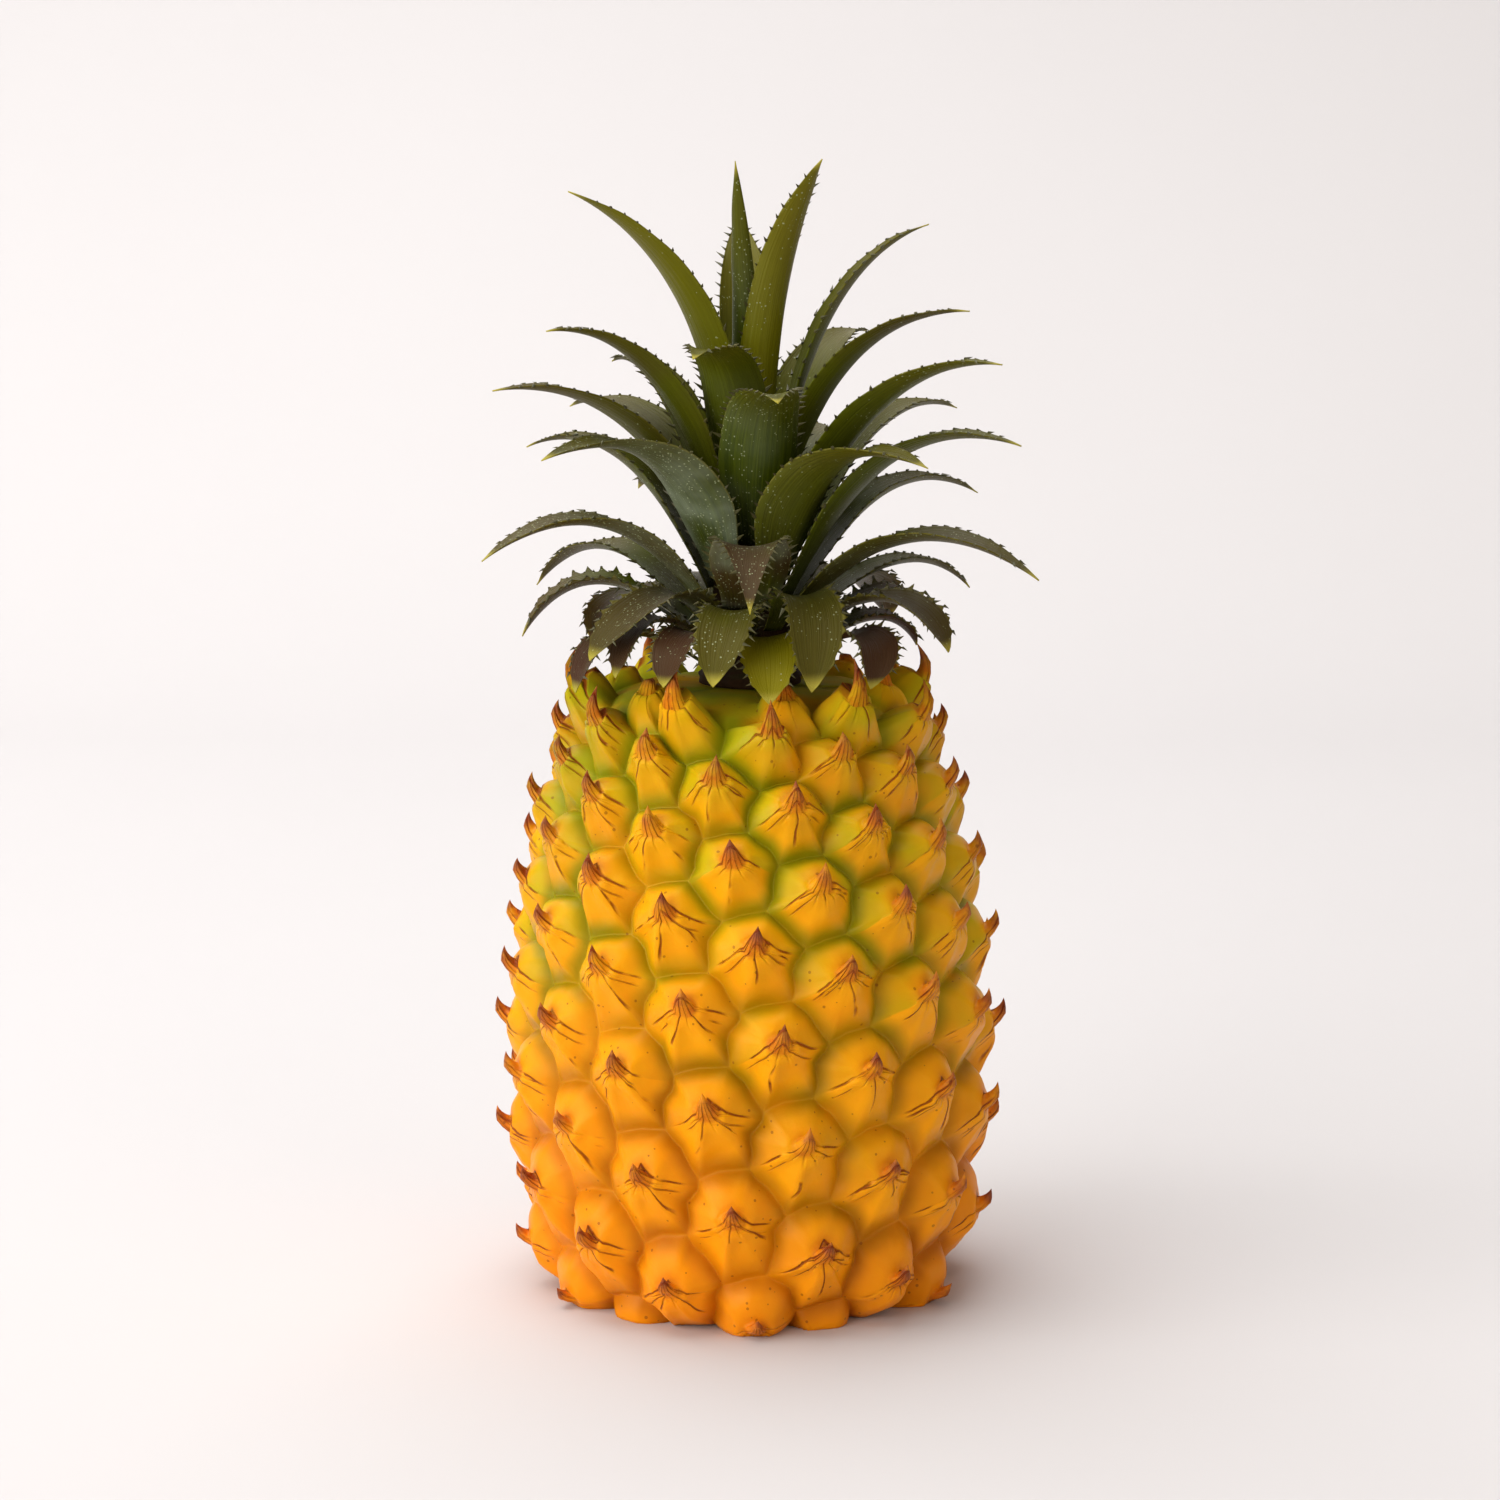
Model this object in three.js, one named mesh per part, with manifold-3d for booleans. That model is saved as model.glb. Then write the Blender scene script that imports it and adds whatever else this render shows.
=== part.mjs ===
// Pineapple: a fruit covered in hooked eyes, and a crown of spined leaves on a short stem.
// Millimetres, +Z up. The origin is the middle of the flat foot that the fruit stands on.
// A turn of 0 faces -Y, and turns grow towards +X.
import * as THREE from 'three';
import Module from 'manifold-3d';
import { mergeVertices } from 'three/addons/utils/BufferGeometryUtils.js';

const wasm = await Module();
wasm.setup();

const GAP = 0.3; // between pieces that touch on the real thing

// The fruit's groove surface, bare of its eyes: [way up the fruit, radius, height]
const GROOVE = [
  [-26, 25, -2], [-15, 36.5, -2], [-6, 44.5, -1], [3, 49.9, 4.5], [12, 53.4, 12], [27, 56.2, 27],
  [50, 58.3, 50], [76, 58.4, 76], [97, 56.6, 97], [111, 54.4, 111], [123, 51.6, 123], [136, 48.2, 136],
  [145, 45.1, 144.8], [153, 41.9, 152.3], [161, 37, 158.4], [169, 28.2, 161.6], [177, 17, 162],
  [185, 9, 162],
];
const FRUIT_TOP = 162;
const ROOM = 400; // everything over the foot's plane is kept
const CURVE_END = 0.001; // directions are read this far inside the curve's ends
const SAME_PLACE = 1e-4; // points closer than this are one

// The eyes stand in whorls of six, each whorl turned and lowered from the one above
const EYES_IN_WHORL = 6;
const TOP_WHORL = -10;
const BOTTOM_WHORL = 12;
const BARE_ABOVE = 2; // bald whorls past each end, which close the skin
const BARE_BELOW = 2;
const MID_TURN = 1.2; // degrees, an eye of whorl 0
const MID_HEIGHT = 99.3;
const WHORL_TURN = 21.85; // degrees
const WHORL_DROP = 7.47;
const WHORL_DROP_GROWTH = 0.132;
const TOP_TWIST = -9; // degrees, how far the upper whorls are off the others' spiral
const TWISTED_WHORL = -9; // the lowest of them

const ROUND_TOP = 0.53; // the groove between two eyes lies this far up from the lower one

// One eye: a smooth cap above, a scale that hangs below like a cloak, and a free claw where they meet.
// Both fall from the claw's root to the groove as 1 - share ** fullness.
const CAP_RISE = 5.7;
const CAP_FULLNESS = 2;
const SCALE_RISE = 6.9;
const SCALE_FULLNESS = 1.35;
const RIDGE_FULLNESS = 1.15; // towards the left and right corners, where the two parts meet
const SCALE_WHOLE = 0.7; // the scale's fullness holds from this far down, as a share of straight down
const CAP_STARTS = 0.1; // the cap takes over between these shares of straight up
const CAP_WHOLE = 0.7;
const SHOULDER_REACH = 0.78; // share of the way from the claw to the groove
const CROWN_REACH = 0.44;
const CLAW_ROOT_LIFT = 5.2; // the claw's root lies above the middle of its eye
const CLAW_HALF_WIDTH = 3;
const CLAW_SIDE_DROP = 1.2; // the root's sides hang lower than its middle
const CLAW_BACK = 0.9; // from the root's middle up to the notch behind the claw
const CLAW_FRONT = 3.4; // and down to the end of its front ridge
const CLAW_NOTCH = 1; // how much lower the notch lies
const CLAW_TIP_RISE = 9.3;
const CLAW_TIP_LIFT = 9.2; // how far the tip stands above the eye's middle
const BLUNT_TIP_RISE = 1.2; // what is left of the claw on the lowest eyes
const EYE_SIZE = 0.94; // the smallest eye's share of these sizes
const EYE_GROWTH = 0.12; // and how much more the largest has
const CLAW_LEAN = 1.6; // range over which tips lean to the left or right
const TOP_CLAW_GROWTH = 0.45; // the highest clawed eyes stand out further by this share
const TOP_CLAWS_ABOVE = 145;
const CROWDED_ABOVE = 158; // the eyes under the leaves are low and blunt
const CROWDED_SIZE = 0.75;
const BLUNT_BELOW = 22; // eyes lower than this have small claws
const BLUNTEST = 0.15;
const BALD_RADIUS = 17; // the seat under the crown is plain inside this
const DOMED_RADIUS = 30;

// The crown's stem: [radius, height above the fruit's top]
const STEM = [
  [0, GAP], [13.5, GAP], [14, 2.5], [12.6, 4], [11.5, 8], [10.4, 20], [8.6, 35], [6.6, 50],
  [4.4, 64], [2.2, 70], [0, 70.5],
];
const STEM_SIDES = 20;

// Every leaf: a thin channelled blade with spines along both margins
const BLADE = 0.8;
const SPINE = 1.5;
const SPINE_LEAN = 0.8; // share of the way to the next station, so that spines point at the tip
const ROOT_WIDTH = 0.52; // share of the full width, at the stem
const CHANNEL = 0.14; // extra depth of the channel, as a share of the width
const TIGHTEST_ARCH = 7;
const POINT_WIDTH = 1.0;

// How the width falls towards the tip, as 1 - share ** taper
const TAPER = 1.8;
const BROAD_TAPER = 8; // the short leaves of the skirt stay broad until near their tips
const EARLY_TAPER = 0.8; // and one leaf narrows at once, where it folds over
const TAPER_SWELL = 0.5; // a leaf swells by this share along its length before it narrows
const TAPER_START = 0.8;
const WIDEST_SHARE = 0.86; // its largest value with the usual taper
const ROOT_SPREAD = 0.3; // share of the length over which the root widens
const CHANNEL_FROM = 0.1; // the channel deepens between these shares of the length
const CHANNEL_TO = 0.5;
const SPINE_LIFT = 1.2; // the channel goes on this far past the margin, for the spines

// name, turn (degrees), root height, bow [radius, height], tip [radius, height],
// width, swing (degrees), taper
const LEAVES = [
  ['spear', -25, 232, [5, 262], [9, 298.5], 10, 0, TAPER],
  ['top_right_broad', 50, 225.5, [7.5, 274], [24, 299], 20, 0, TAPER],
  ['top_left', -62, 219, [14, 276], [52, 291], 20, 0, TAPER],
  ['top_right', 97, 214, [18, 273], [47, 282], 15, 0, TAPER],
  ['top_back', -176, 217, [15, 268], [44, 282], 18, 0, TAPER],
  ['high_front', -18, 213, [18, 259], [46, 250], 21, 0, TAPER],
  ['high_left', -63, 208, [28, 259], [58, 256], 18, 0, TAPER],
  ['high_right', 66, 208, [24, 261], [61, 261], 18, 0, TAPER],
  ['high_back_right', 146, 206, [28, 257], [57, 252], 19, 0, TAPER],
  ['high_back_left', -128, 203, [30, 252], [47, 245], 17, 0, TAPER],
  ['mid_front', 8, 200, [24, 248], [50, 239.5], 24, 0, TAPER],
  ['mid_right', 62, 198, [38, 251], [72, 248], 23, 0, TAPER],
  ['mid_left', -67, 197, [34, 246], [71, 241], 20, 0, TAPER],
  ['mid_back_right', 122, 192, [38, 242], [66, 232], 20, 0, TAPER],
  ['mid_back', 178, 200, [32, 248], [64, 238], 22, 0, TAPER],
  ['mid_back_left', -130, 194, [34, 243], [64, 232], 20, 0, TAPER],
  ['wide_left', -44, 190, [30, 238], [70, 225], 26, -4, TAPER],
  ['wide_right', 38, 190, [27, 235], [64, 223], 25, 6, TAPER],
  ['wide_far_right', 72, 186, [37, 238], [73, 226.5], 21, 0, TAPER],
  ['wide_far_left', -100, 187, [33, 236], [60, 223.5], 18, 0, TAPER],
  ['wide_back', 156, 190, [36, 236], [68, 222], 23, 0, TAPER],
  ['wide_back_right', 112, 183, [38, 226], [66, 210], 18, 0, TAPER],
  ['wide_back_left', -152, 184, [38, 226], [66, 208], 21, 0, TAPER],
  ['low_left', -68, 181, [40, 221], [74, 197.5], 21, 0, TAPER],
  ['low_right', 65, 180, [46, 217], [80, 193], 22, 2, TAPER],
  ['low_front', 0, 183, [32, 218], [52, 187], 33, 0, EARLY_TAPER],
  ['low_far_right', 108, 177, [45, 204], [62, 185], 14, 0, TAPER],
  ['low_back', 172, 179, [44, 214], [70, 190], 21, 0, TAPER],
  ['low_back_left', -120, 177, [45, 210], [67, 184], 18, 0, TAPER],
  ['hanging_front_left', -42, 177.5, [31, 200], [52, 172.5], 12, -10, BROAD_TAPER],
  ['hanging_front_right', 30.5, 177.5, [34, 203], [49, 166.5], 11.5, -12, BROAD_TAPER],
  ['hanging_left', -90, 174, [43, 203], [60, 175], 12, 4, BROAD_TAPER],
  ['hanging_right', 61.5, 174, [45, 199], [58, 174], 12, 0, BROAD_TAPER],
  ['hanging_far_right', 100, 172, [42, 196], [47, 176], 11, 0, BROAD_TAPER],
  ['hanging_back_right', 138, 173.5, [43, 200], [57, 174], 14, 0, BROAD_TAPER],
  ['hanging_back', -160, 173, [43, 200], [57, 174], 14, 0, BROAD_TAPER],
  ['hanging_back_left', -124, 170.5, [41, 196], [52, 170], 12, 0, BROAD_TAPER],
  ['skirt_left', -51, 172.5, [38, 192], [47, 168], 7.5, 4, BROAD_TAPER],
  ['skirt_front_left', -8, 172.5, [33, 199], [49, 168], 10.5, -3, BROAD_TAPER],
  ['skirt_front', 8, 169.5, [30, 188], [47.5, 163.5], 11, -2, BROAD_TAPER],
  ['skirt_far_left', -68, 168, [42, 188], [51, 163], 10, 6, BROAD_TAPER],
  ['skirt_near_left', -29.5, 168, [36, 190.5], [49, 167.3], 8.5, 3, BROAD_TAPER],
  ['skirt_near_right', 54, 168.5, [45, 188], [51, 166.5], 11, -17, BROAD_TAPER],
  ['skirt_right', 100, 168.5, [37, 187], [45, 171], 11, 0, BROAD_TAPER],
  ['skirt_back', 176, 168.5, [39, 188], [51, 166], 13, 0, BROAD_TAPER],
];
const LONG_LEAF = 60; // leaves longer than this have more stations
const LONG_STATIONS = 8;
const SHORT_STATIONS = 6;

const radians = THREE.MathUtils.degToRad;
const lerp = THREE.MathUtils.lerp;

// Repeatable small differences between eyes, by the usual Lehmer rule
const LEHMER_FACTOR = 16807;
const LEHMER_PRIME = 2147483647;
const FIRST_DRAW = 7;

function seeded(seed) {
  let state = seed;
  return () => {
    state = (state * LEHMER_FACTOR) % LEHMER_PRIME;
    return state / LEHMER_PRIME;
  };
}

function polar(radius, turn, height) {
  return new THREE.Vector3(radius * Math.sin(turn), -radius * Math.cos(turn), height);
}

const groovePoints = GROOVE.map(([, radius, height]) => new THREE.Vector2(radius, height));
const grooveCurve = new THREE.SplineCurve(groovePoints);

// Where a way up the fruit falls on the groove curve, from 0 to 1
function grooveShare(way) {
  const last = GROOVE.length - 1;
  const i = Math.max(0, Math.min(last - 1, GROOVE.findIndex(([up]) => up > way) - 1));
  const share = (way - GROOVE[i][0]) / (GROOVE[i + 1][0] - GROOVE[i][0]);
  return THREE.MathUtils.clamp((i + share) / last, 0, 1);
}

// The surface's place and its three directions: across, up the fruit and outwards
function skin(turn, way) {
  const share = grooveShare(way);
  const { x: radius, y: height } = grooveCurve.getPoint(share);
  const along = grooveCurve.getTangent(THREE.MathUtils.clamp(share, CURVE_END, 1 - CURVE_END));
  const across = new THREE.Vector3(Math.cos(turn), Math.sin(turn), 0);
  const radial = polar(1, turn, 0);
  const up = radial.clone().multiplyScalar(along.x).setZ(along.y);
  return { place: polar(radius, turn, height), across, up, out: across.clone().cross(up), radius };
}

const whorlWay = (whorl) => MID_HEIGHT - WHORL_DROP * whorl - WHORL_DROP_GROWTH * whorl ** 2;

function eyeSpot(whorl, column) {
  const twist = whorl <= TWISTED_WHORL ? TOP_TWIST : 0;
  const turn = radians(MID_TURN + WHORL_TURN * whorl + (360 / EYES_IN_WHORL) * column + twist);
  return { whorl, column, turn, way: whorlWay(whorl) };
}

// The six eyes round an eye, from its right and anticlockwise as seen from outside
const AROUND = [[1, 0], [-2, 1], [-3, 1], [-1, 0], [2, -1], [3, -1]];

const eyeKey = ({ whorl, column }) => `${whorl}:${THREE.MathUtils.euclideanModulo(column, EYES_IN_WHORL)}`;

class Skin {
  constructor() {
    this.points = [];
    this.triangles = [];
    this.shared = new Map();
  }

  add(point) {
    this.points.push(point);
    return this.points.length - 1;
  }

  // A groove point between eyes belongs to all of them
  groove({ eyes, turn, way }) {
    const key = eyes.map(eyeKey).sort().join('|');
    if (!this.shared.has(key)) this.shared.set(key, this.add(skin(turn, way).place));
    return this.shared.get(key);
  }

  face(a, b, c) {
    this.triangles.push(a, b, c);
  }
}

// The groove between two eyes
function edgeSpot(eye, next) {
  const [lower, upper] = eye.way < next.way ? [eye, next] : [next, eye];
  const turn = lerp(lower.turn, upper.turn, ROUND_TOP);
  return { eyes: [eye, next], turn, way: lerp(lower.way, upper.way, ROUND_TOP) };
}

// The groove's corner between three eyes
function cornerSpot(...eyes) {
  const mean = (key) => eyes.reduce((sum, one) => sum + one[key], 0) / eyes.length;
  return { eyes, turn: mean('turn'), way: mean('way') };
}

// The groove round one eye: a point and a corner for each neighbour, twelve in all
function grooveRing(mesh, eye) {
  const neighbours = AROUND.map(([down, side]) => eyeSpot(eye.whorl + down, eye.column + side));
  const ring = neighbours.flatMap((next, i) => {
    const after = neighbours[(i + 1) % neighbours.length];
    return [edgeSpot(eye, next), cornerSpot(eye, next, after)];
  });
  return ring.map((spot) => ({ ...spot, id: mesh.groove(spot) }));
}

// How far above its eye's claw a ring point is: 1 straight up, -1 straight down
function upness(spot, eye, radius) {
  const side = (spot.turn - eye.turn) * radius;
  const rise = spot.way - eye.way - CLAW_ROOT_LIFT;
  return rise / Math.hypot(side, rise);
}

// The eye's rise over the groove's surface, in a direction and at a share of the way from the claw
function eyeRise(up, reach) {
  const cap = CAP_RISE * (1 - reach ** CAP_FULLNESS);
  const hanging = THREE.MathUtils.smoothstep(-up, 0, SCALE_WHOLE);
  const fullness = lerp(RIDGE_FULLNESS, SCALE_FULLNESS, hanging);
  const scale = SCALE_RISE * (1 - reach ** fullness);
  return lerp(scale, cap, THREE.MathUtils.smoothstep(up, CAP_STARTS, CAP_WHOLE));
}

function eyePoint(mesh, eye, spot, reach, rise) {
  const turn = lerp(eye.turn, spot.turn, reach);
  const way = lerp(eye.way + CLAW_ROOT_LIFT, spot.way, reach);
  const here = skin(turn, way);
  return mesh.add(here.place.addScaledVector(here.out, rise));
}

function baldEye(mesh, eye) {
  const ring = grooveRing(mesh, eye);
  const centre = mesh.add(skin(eye.turn, eye.way).place);
  ring.forEach((spot, i) => mesh.face(centre, spot.id, ring[(i + 1) % ring.length].id));
}

function clawedEye(mesh, eye, random) {
  const ring = grooveRing(mesh, eye);
  const count = ring.length;
  const here = skin(eye.turn, eye.way);
  const size = EYE_SIZE + EYE_GROWTH * random();
  const lean = (random() - 0.5) * CLAW_LEAN;
  const bare = THREE.MathUtils.smoothstep(here.radius, BALD_RADIUS, DOMED_RADIUS);
  const crowded = eye.way > CROWDED_ABOVE;
  const sharp = crowded ? BLUNTEST : THREE.MathUtils.clamp(eye.way / BLUNT_BELOW, BLUNTEST, 1);
  const high = THREE.MathUtils.smoothstep(eye.way, TOP_CLAWS_ABOVE, whorlWay(TWISTED_WHORL));
  const tall = crowded ? CROWDED_SIZE : 1 + TOP_CLAW_GROWTH * high;
  const grown = bare * size * tall;

  const risen = (spot, reach) => {
    const rise = eyeRise(upness(spot, eye, here.radius), reach) * grown;
    return eyePoint(mesh, eye, spot, reach, rise);
  };
  const shoulder = ring.map((spot) => risen(spot, SHOULDER_REACH));
  const crown = ring.filter((_, i) => i % 2 === 1).map((spot) => risen(spot, CROWN_REACH));

  const rootRise = lerp(CAP_RISE, SCALE_RISE, sharp) * grown;
  const notch = CLAW_NOTCH * sharp;
  const local = (side, lift, rise) => here.place.clone()
    .addScaledVector(here.across, side).addScaledVector(here.up, lift).addScaledVector(here.out, rise);
  const root = [
    mesh.add(local(CLAW_HALF_WIDTH, CLAW_ROOT_LIFT - CLAW_SIDE_DROP, rootRise - notch / 2)),
    mesh.add(local(0, CLAW_ROOT_LIFT + CLAW_BACK, rootRise - notch)),
    mesh.add(local(-CLAW_HALF_WIDTH, CLAW_ROOT_LIFT - CLAW_SIDE_DROP, rootRise - notch / 2)),
    mesh.add(local(0, CLAW_ROOT_LIFT - CLAW_FRONT, rootRise)),
  ];
  const tipRise = lerp(rootRise + BLUNT_TIP_RISE, CLAW_TIP_RISE * size * tall, sharp);
  const tip = mesh.add(local(lean, CLAW_TIP_LIFT * size * tall, tipRise));

  for (let i = 0; i < count; i += 1) {
    const next = (i + 1) % count;
    mesh.face(shoulder[i], ring[i].id, ring[next].id);
    mesh.face(shoulder[i], ring[next].id, shoulder[next]);
  }
  for (let i = 0; i < crown.length; i += 1) {
    const mid = shoulder[2 * i];
    const corner = shoulder[2 * i + 1];
    const after = shoulder[(2 * i + 2) % count];
    mesh.face(crown[i], mid, corner);
    mesh.face(crown[i], corner, after);
    mesh.face(crown[i], after, crown[(i + 1) % crown.length]);
  }
  const [right, upRight, upLeft, left, downLeft, downRight] = crown;
  const [rootRight, rootBack, rootLeft, rootFront] = root;
  mesh.face(rootRight, right, upRight);
  mesh.face(rootRight, upRight, rootBack);
  mesh.face(rootBack, upRight, upLeft);
  mesh.face(rootBack, upLeft, rootLeft);
  mesh.face(rootLeft, upLeft, left);
  mesh.face(rootLeft, left, downLeft);
  mesh.face(rootLeft, downLeft, rootFront);
  mesh.face(rootFront, downLeft, downRight);
  mesh.face(rootFront, downRight, rootRight);
  mesh.face(rootRight, downRight, right);
  root.forEach((point, i) => mesh.face(tip, point, root[(i + 1) % root.length]));
}

// Open edges at the top and the bottom of the skin are fanned to a point on the axis
function closePoles(mesh) {
  const open = new Map();
  for (let i = 0; i < mesh.triangles.length; i += 3) {
    for (let k = 0; k < 3; k += 1) {
      const from = mesh.triangles[i + k];
      const to = mesh.triangles[i + ((k + 1) % 3)];
      if (!open.delete(`${to},${from}`)) open.set(`${from},${to}`, [from, to]);
    }
  }
  const top = mesh.add(new THREE.Vector3(0, 0, FRUIT_TOP));
  const bottom = mesh.add(new THREE.Vector3(0, 0, GROOVE[0][2]));
  for (const [from, to] of open.values()) {
    const high = mesh.points[from].z > MID_HEIGHT;
    mesh.face(to, from, high ? top : bottom);
  }
}

function toGeometry(points, triangles) {
  const geometry = new THREE.BufferGeometry();
  const values = points.flatMap((point) => [point.x, point.y, point.z]);
  geometry.setAttribute('position', new THREE.Float32BufferAttribute(values, 3));
  geometry.setIndex(triangles);
  return geometry;
}

function toManifold(geometry) {
  const bare = geometry.clone();
  bare.deleteAttribute('normal');
  bare.deleteAttribute('uv');
  const merged = mergeVertices(bare, SAME_PLACE);
  return new wasm.Manifold(new wasm.Mesh({
    numProp: 3,
    vertProperties: new Float32Array(merged.attributes.position.array),
    triVerts: new Uint32Array(merged.index.array),
  }));
}

function fromManifold(solid) {
  const mesh = solid.getMesh();
  const geometry = new THREE.BufferGeometry();
  geometry.setAttribute('position', new THREE.Float32BufferAttribute(mesh.vertProperties, 3));
  geometry.setIndex([...mesh.triVerts]);
  return geometry;
}

function fruitGeometry() {
  const mesh = new Skin();
  const random = seeded(FIRST_DRAW);
  for (let whorl = TOP_WHORL - BARE_ABOVE; whorl <= BOTTOM_WHORL + BARE_BELOW; whorl += 1) {
    for (let column = 0; column < EYES_IN_WHORL; column += 1) {
      const eye = eyeSpot(whorl, column);
      if (whorl < TOP_WHORL || whorl > BOTTOM_WHORL) baldEye(mesh, eye);
      else clawedEye(mesh, eye, random);
    }
  }
  closePoles(mesh);
  const whole = toManifold(toGeometry(mesh.points, mesh.triangles));
  const overFoot = new THREE.BoxGeometry(ROOM, ROOM, ROOM).translate(0, 0, ROOM / 2);
  return fromManifold(whole.intersect(toManifold(overFoot)));
}

function stemGeometry() {
  const profile = STEM.map(([radius, height]) => new THREE.Vector2(radius, FRUIT_TOP + height));
  return new THREE.LatheGeometry(profile, STEM_SIDES).rotateX(Math.PI / 2);
}

// The stem's radius at a height
function stemRadius(height) {
  const above = height - FRUIT_TOP;
  const i = STEM.findIndex(([, top]) => top > above);
  if (i < 1) return 0;
  const [r0, h0] = STEM[i - 1];
  const [r1, h1] = STEM[i];
  return lerp(r0, r1, (above - h0) / (h1 - h0));
}

// The blade's width along its length, as a share of the full width
function widthShare(along, taper) {
  const swelling = TAPER_START + TAPER_SWELL * along;
  const narrowing = 1 - along ** taper;
  const rooted = lerp(ROOT_WIDTH, 1, THREE.MathUtils.smoothstep(along, 0, ROOT_SPREAD));
  return (swelling * narrowing * rooted) / WIDEST_SHARE;
}

function leafGeometry([, turn, rootHeight, bow, tip, width, swing, taper]) {
  const root = new THREE.Vector2(stemRadius(rootHeight) + GAP + BLADE, rootHeight);
  const curve = new THREE.QuadraticBezierCurve(root, new THREE.Vector2(...bow), new THREE.Vector2(...tip));
  const stations = curve.getLength() > LONG_LEAF ? LONG_STATIONS : SHORT_STATIONS;
  const points = [];
  const triangles = [];

  const halfAt = (along) => Math.max(width * widthShare(along, taper), POINT_WIDTH) / 2;

  // A point of the blade: share of its length, millimetres to the right, and which face
  function blade(along, side, face) {
    const half = halfAt(along);
    const { x: radius, y: height } = curve.getPoint(along);
    const way = curve.getTangent(along);
    const inwards = new THREE.Vector2(-way.y, way.x);
    const arch = Math.max(radius, TIGHTEST_ARCH);
    const angle = side / arch;
    const depth = CHANNEL * 2 * half * THREE.MathUtils.smoothstep(along, CHANNEL_FROM, CHANNEL_TO);
    const lift = depth * Math.min(side / half, SPINE_LIFT) ** 2 + (face * BLADE) / 2;
    const middle = radians(turn + swing * along ** 2);
    const outwards = polar(1, middle + angle, 0);
    return polar(radius - arch, middle, height)
      .addScaledVector(outwards, arch + lift * inwards.x)
      .add(new THREE.Vector3(0, 0, lift * inwards.y));
  }

  function add(along, side) {
    points.push(blade(along, side, 1), blade(along, side, -1));
    return points.length / 2 - 1;
  }

  // The same triangle on the upper and the lower face
  function both(a, b, c) {
    triangles.push(2 * a, 2 * c, 2 * b, 2 * a + 1, 2 * b + 1, 2 * c + 1);
  }

  // A strip of edge between the two faces
  function wall(a, b) {
    triangles.push(2 * a + 1, 2 * b, 2 * b + 1, 2 * a + 1, 2 * a, 2 * b);
  }

  const rows = [];
  for (let i = 0; i <= stations; i += 1) {
    const along = i / stations;
    const half = halfAt(along);
    rows.push([add(along, -half), add(along, 0), add(along, half)]);
  }
  for (let i = 0; i < stations; i += 1) {
    const [left, middle, right] = rows[i];
    const [nextLeft, nextMiddle, nextRight] = rows[i + 1];
    const along = (i + SPINE_LEAN) / stations;
    const half = halfAt(along) + SPINE * (1 - along ** 2);
    const leftSpine = add(along, -half);
    const rightSpine = add(along, half);
    both(left, middle, nextMiddle);
    both(left, nextMiddle, nextLeft);
    both(middle, right, nextRight);
    both(middle, nextRight, nextMiddle);
    both(left, nextLeft, leftSpine);
    both(right, rightSpine, nextRight);
    wall(nextLeft, leftSpine);
    wall(leftSpine, left);
    wall(right, rightSpine);
    wall(rightSpine, nextRight);
  }
  const [left, middle, right] = rows[0];
  wall(left, middle);
  wall(middle, right);
  const [endLeft, endMiddle, endRight] = rows[stations];
  wall(endRight, endMiddle);
  wall(endMiddle, endLeft);
  return toGeometry(points, triangles);
}

function named(name, geometry, color, roughness) {
  const mesh = new THREE.Mesh(geometry, new THREE.MeshStandardMaterial({ color, roughness, metalness: 0 }));
  mesh.name = name;
  return mesh;
}

const pineapple = new THREE.Group();
pineapple.add(named('fruit', fruitGeometry(), 0xf2a81d, 0.5));

const crown = new THREE.Group();
crown.add(named('crown_stem', stemGeometry(), 0x4a3522, 0.7));
for (const leaf of LEAVES) {
  crown.add(named(`leaf_${leaf[0]}`, leafGeometry(leaf), 0x4b6b2a, 0.55));
}
pineapple.add(crown);

export default pineapple;
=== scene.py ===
# %% [markdown]
# # A pineapple, standing
# This file dresses a packed pineapple model in Blender. The model already stands at its real size,
# with one solid for the fruit, one for the crown's stem and one for every leaf. Here each solid
# gets a finer skin that keeps its form, and materials that are made from nodes alone.
# Lengths below are in millimetres and become metres when a mesh is made.

# %% Load the model
import math

import bpy
import mathutils
import numpy as np
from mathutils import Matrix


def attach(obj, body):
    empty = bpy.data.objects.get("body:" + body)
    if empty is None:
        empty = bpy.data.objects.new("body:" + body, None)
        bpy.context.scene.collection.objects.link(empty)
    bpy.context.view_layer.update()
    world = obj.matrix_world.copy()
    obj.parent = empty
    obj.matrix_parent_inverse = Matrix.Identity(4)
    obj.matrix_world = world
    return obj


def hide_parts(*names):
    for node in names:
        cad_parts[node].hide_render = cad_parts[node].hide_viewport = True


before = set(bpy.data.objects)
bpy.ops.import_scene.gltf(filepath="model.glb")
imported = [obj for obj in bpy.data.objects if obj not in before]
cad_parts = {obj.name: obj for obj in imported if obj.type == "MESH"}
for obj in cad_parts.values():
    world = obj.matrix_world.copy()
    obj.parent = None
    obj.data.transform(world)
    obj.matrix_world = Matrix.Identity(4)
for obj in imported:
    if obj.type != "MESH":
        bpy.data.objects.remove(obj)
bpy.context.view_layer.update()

MM = 0.001

# %% [markdown]
# ## Small helpers
# A mesh is made from a table of points and a list of faces. Masks that a material needs later,
# such as how near a point is to a claw's tip, are kept on the mesh as named attributes, so that a
# pattern follows the surface and never slides.

# %% Helpers for meshes
def mix(low, high, share):
    return low + (high - low) * share


def smooth(value, low, high):
    share = np.clip((value - low) / (high - low), 0.0, 1.0)
    return share * share * (3 - 2 * share)


def polar(radius, turn, height):
    parts = (radius * np.sin(turn), -radius * np.cos(turn), height)
    return np.stack(np.broadcast_arrays(*parts), axis=-1)


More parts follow.
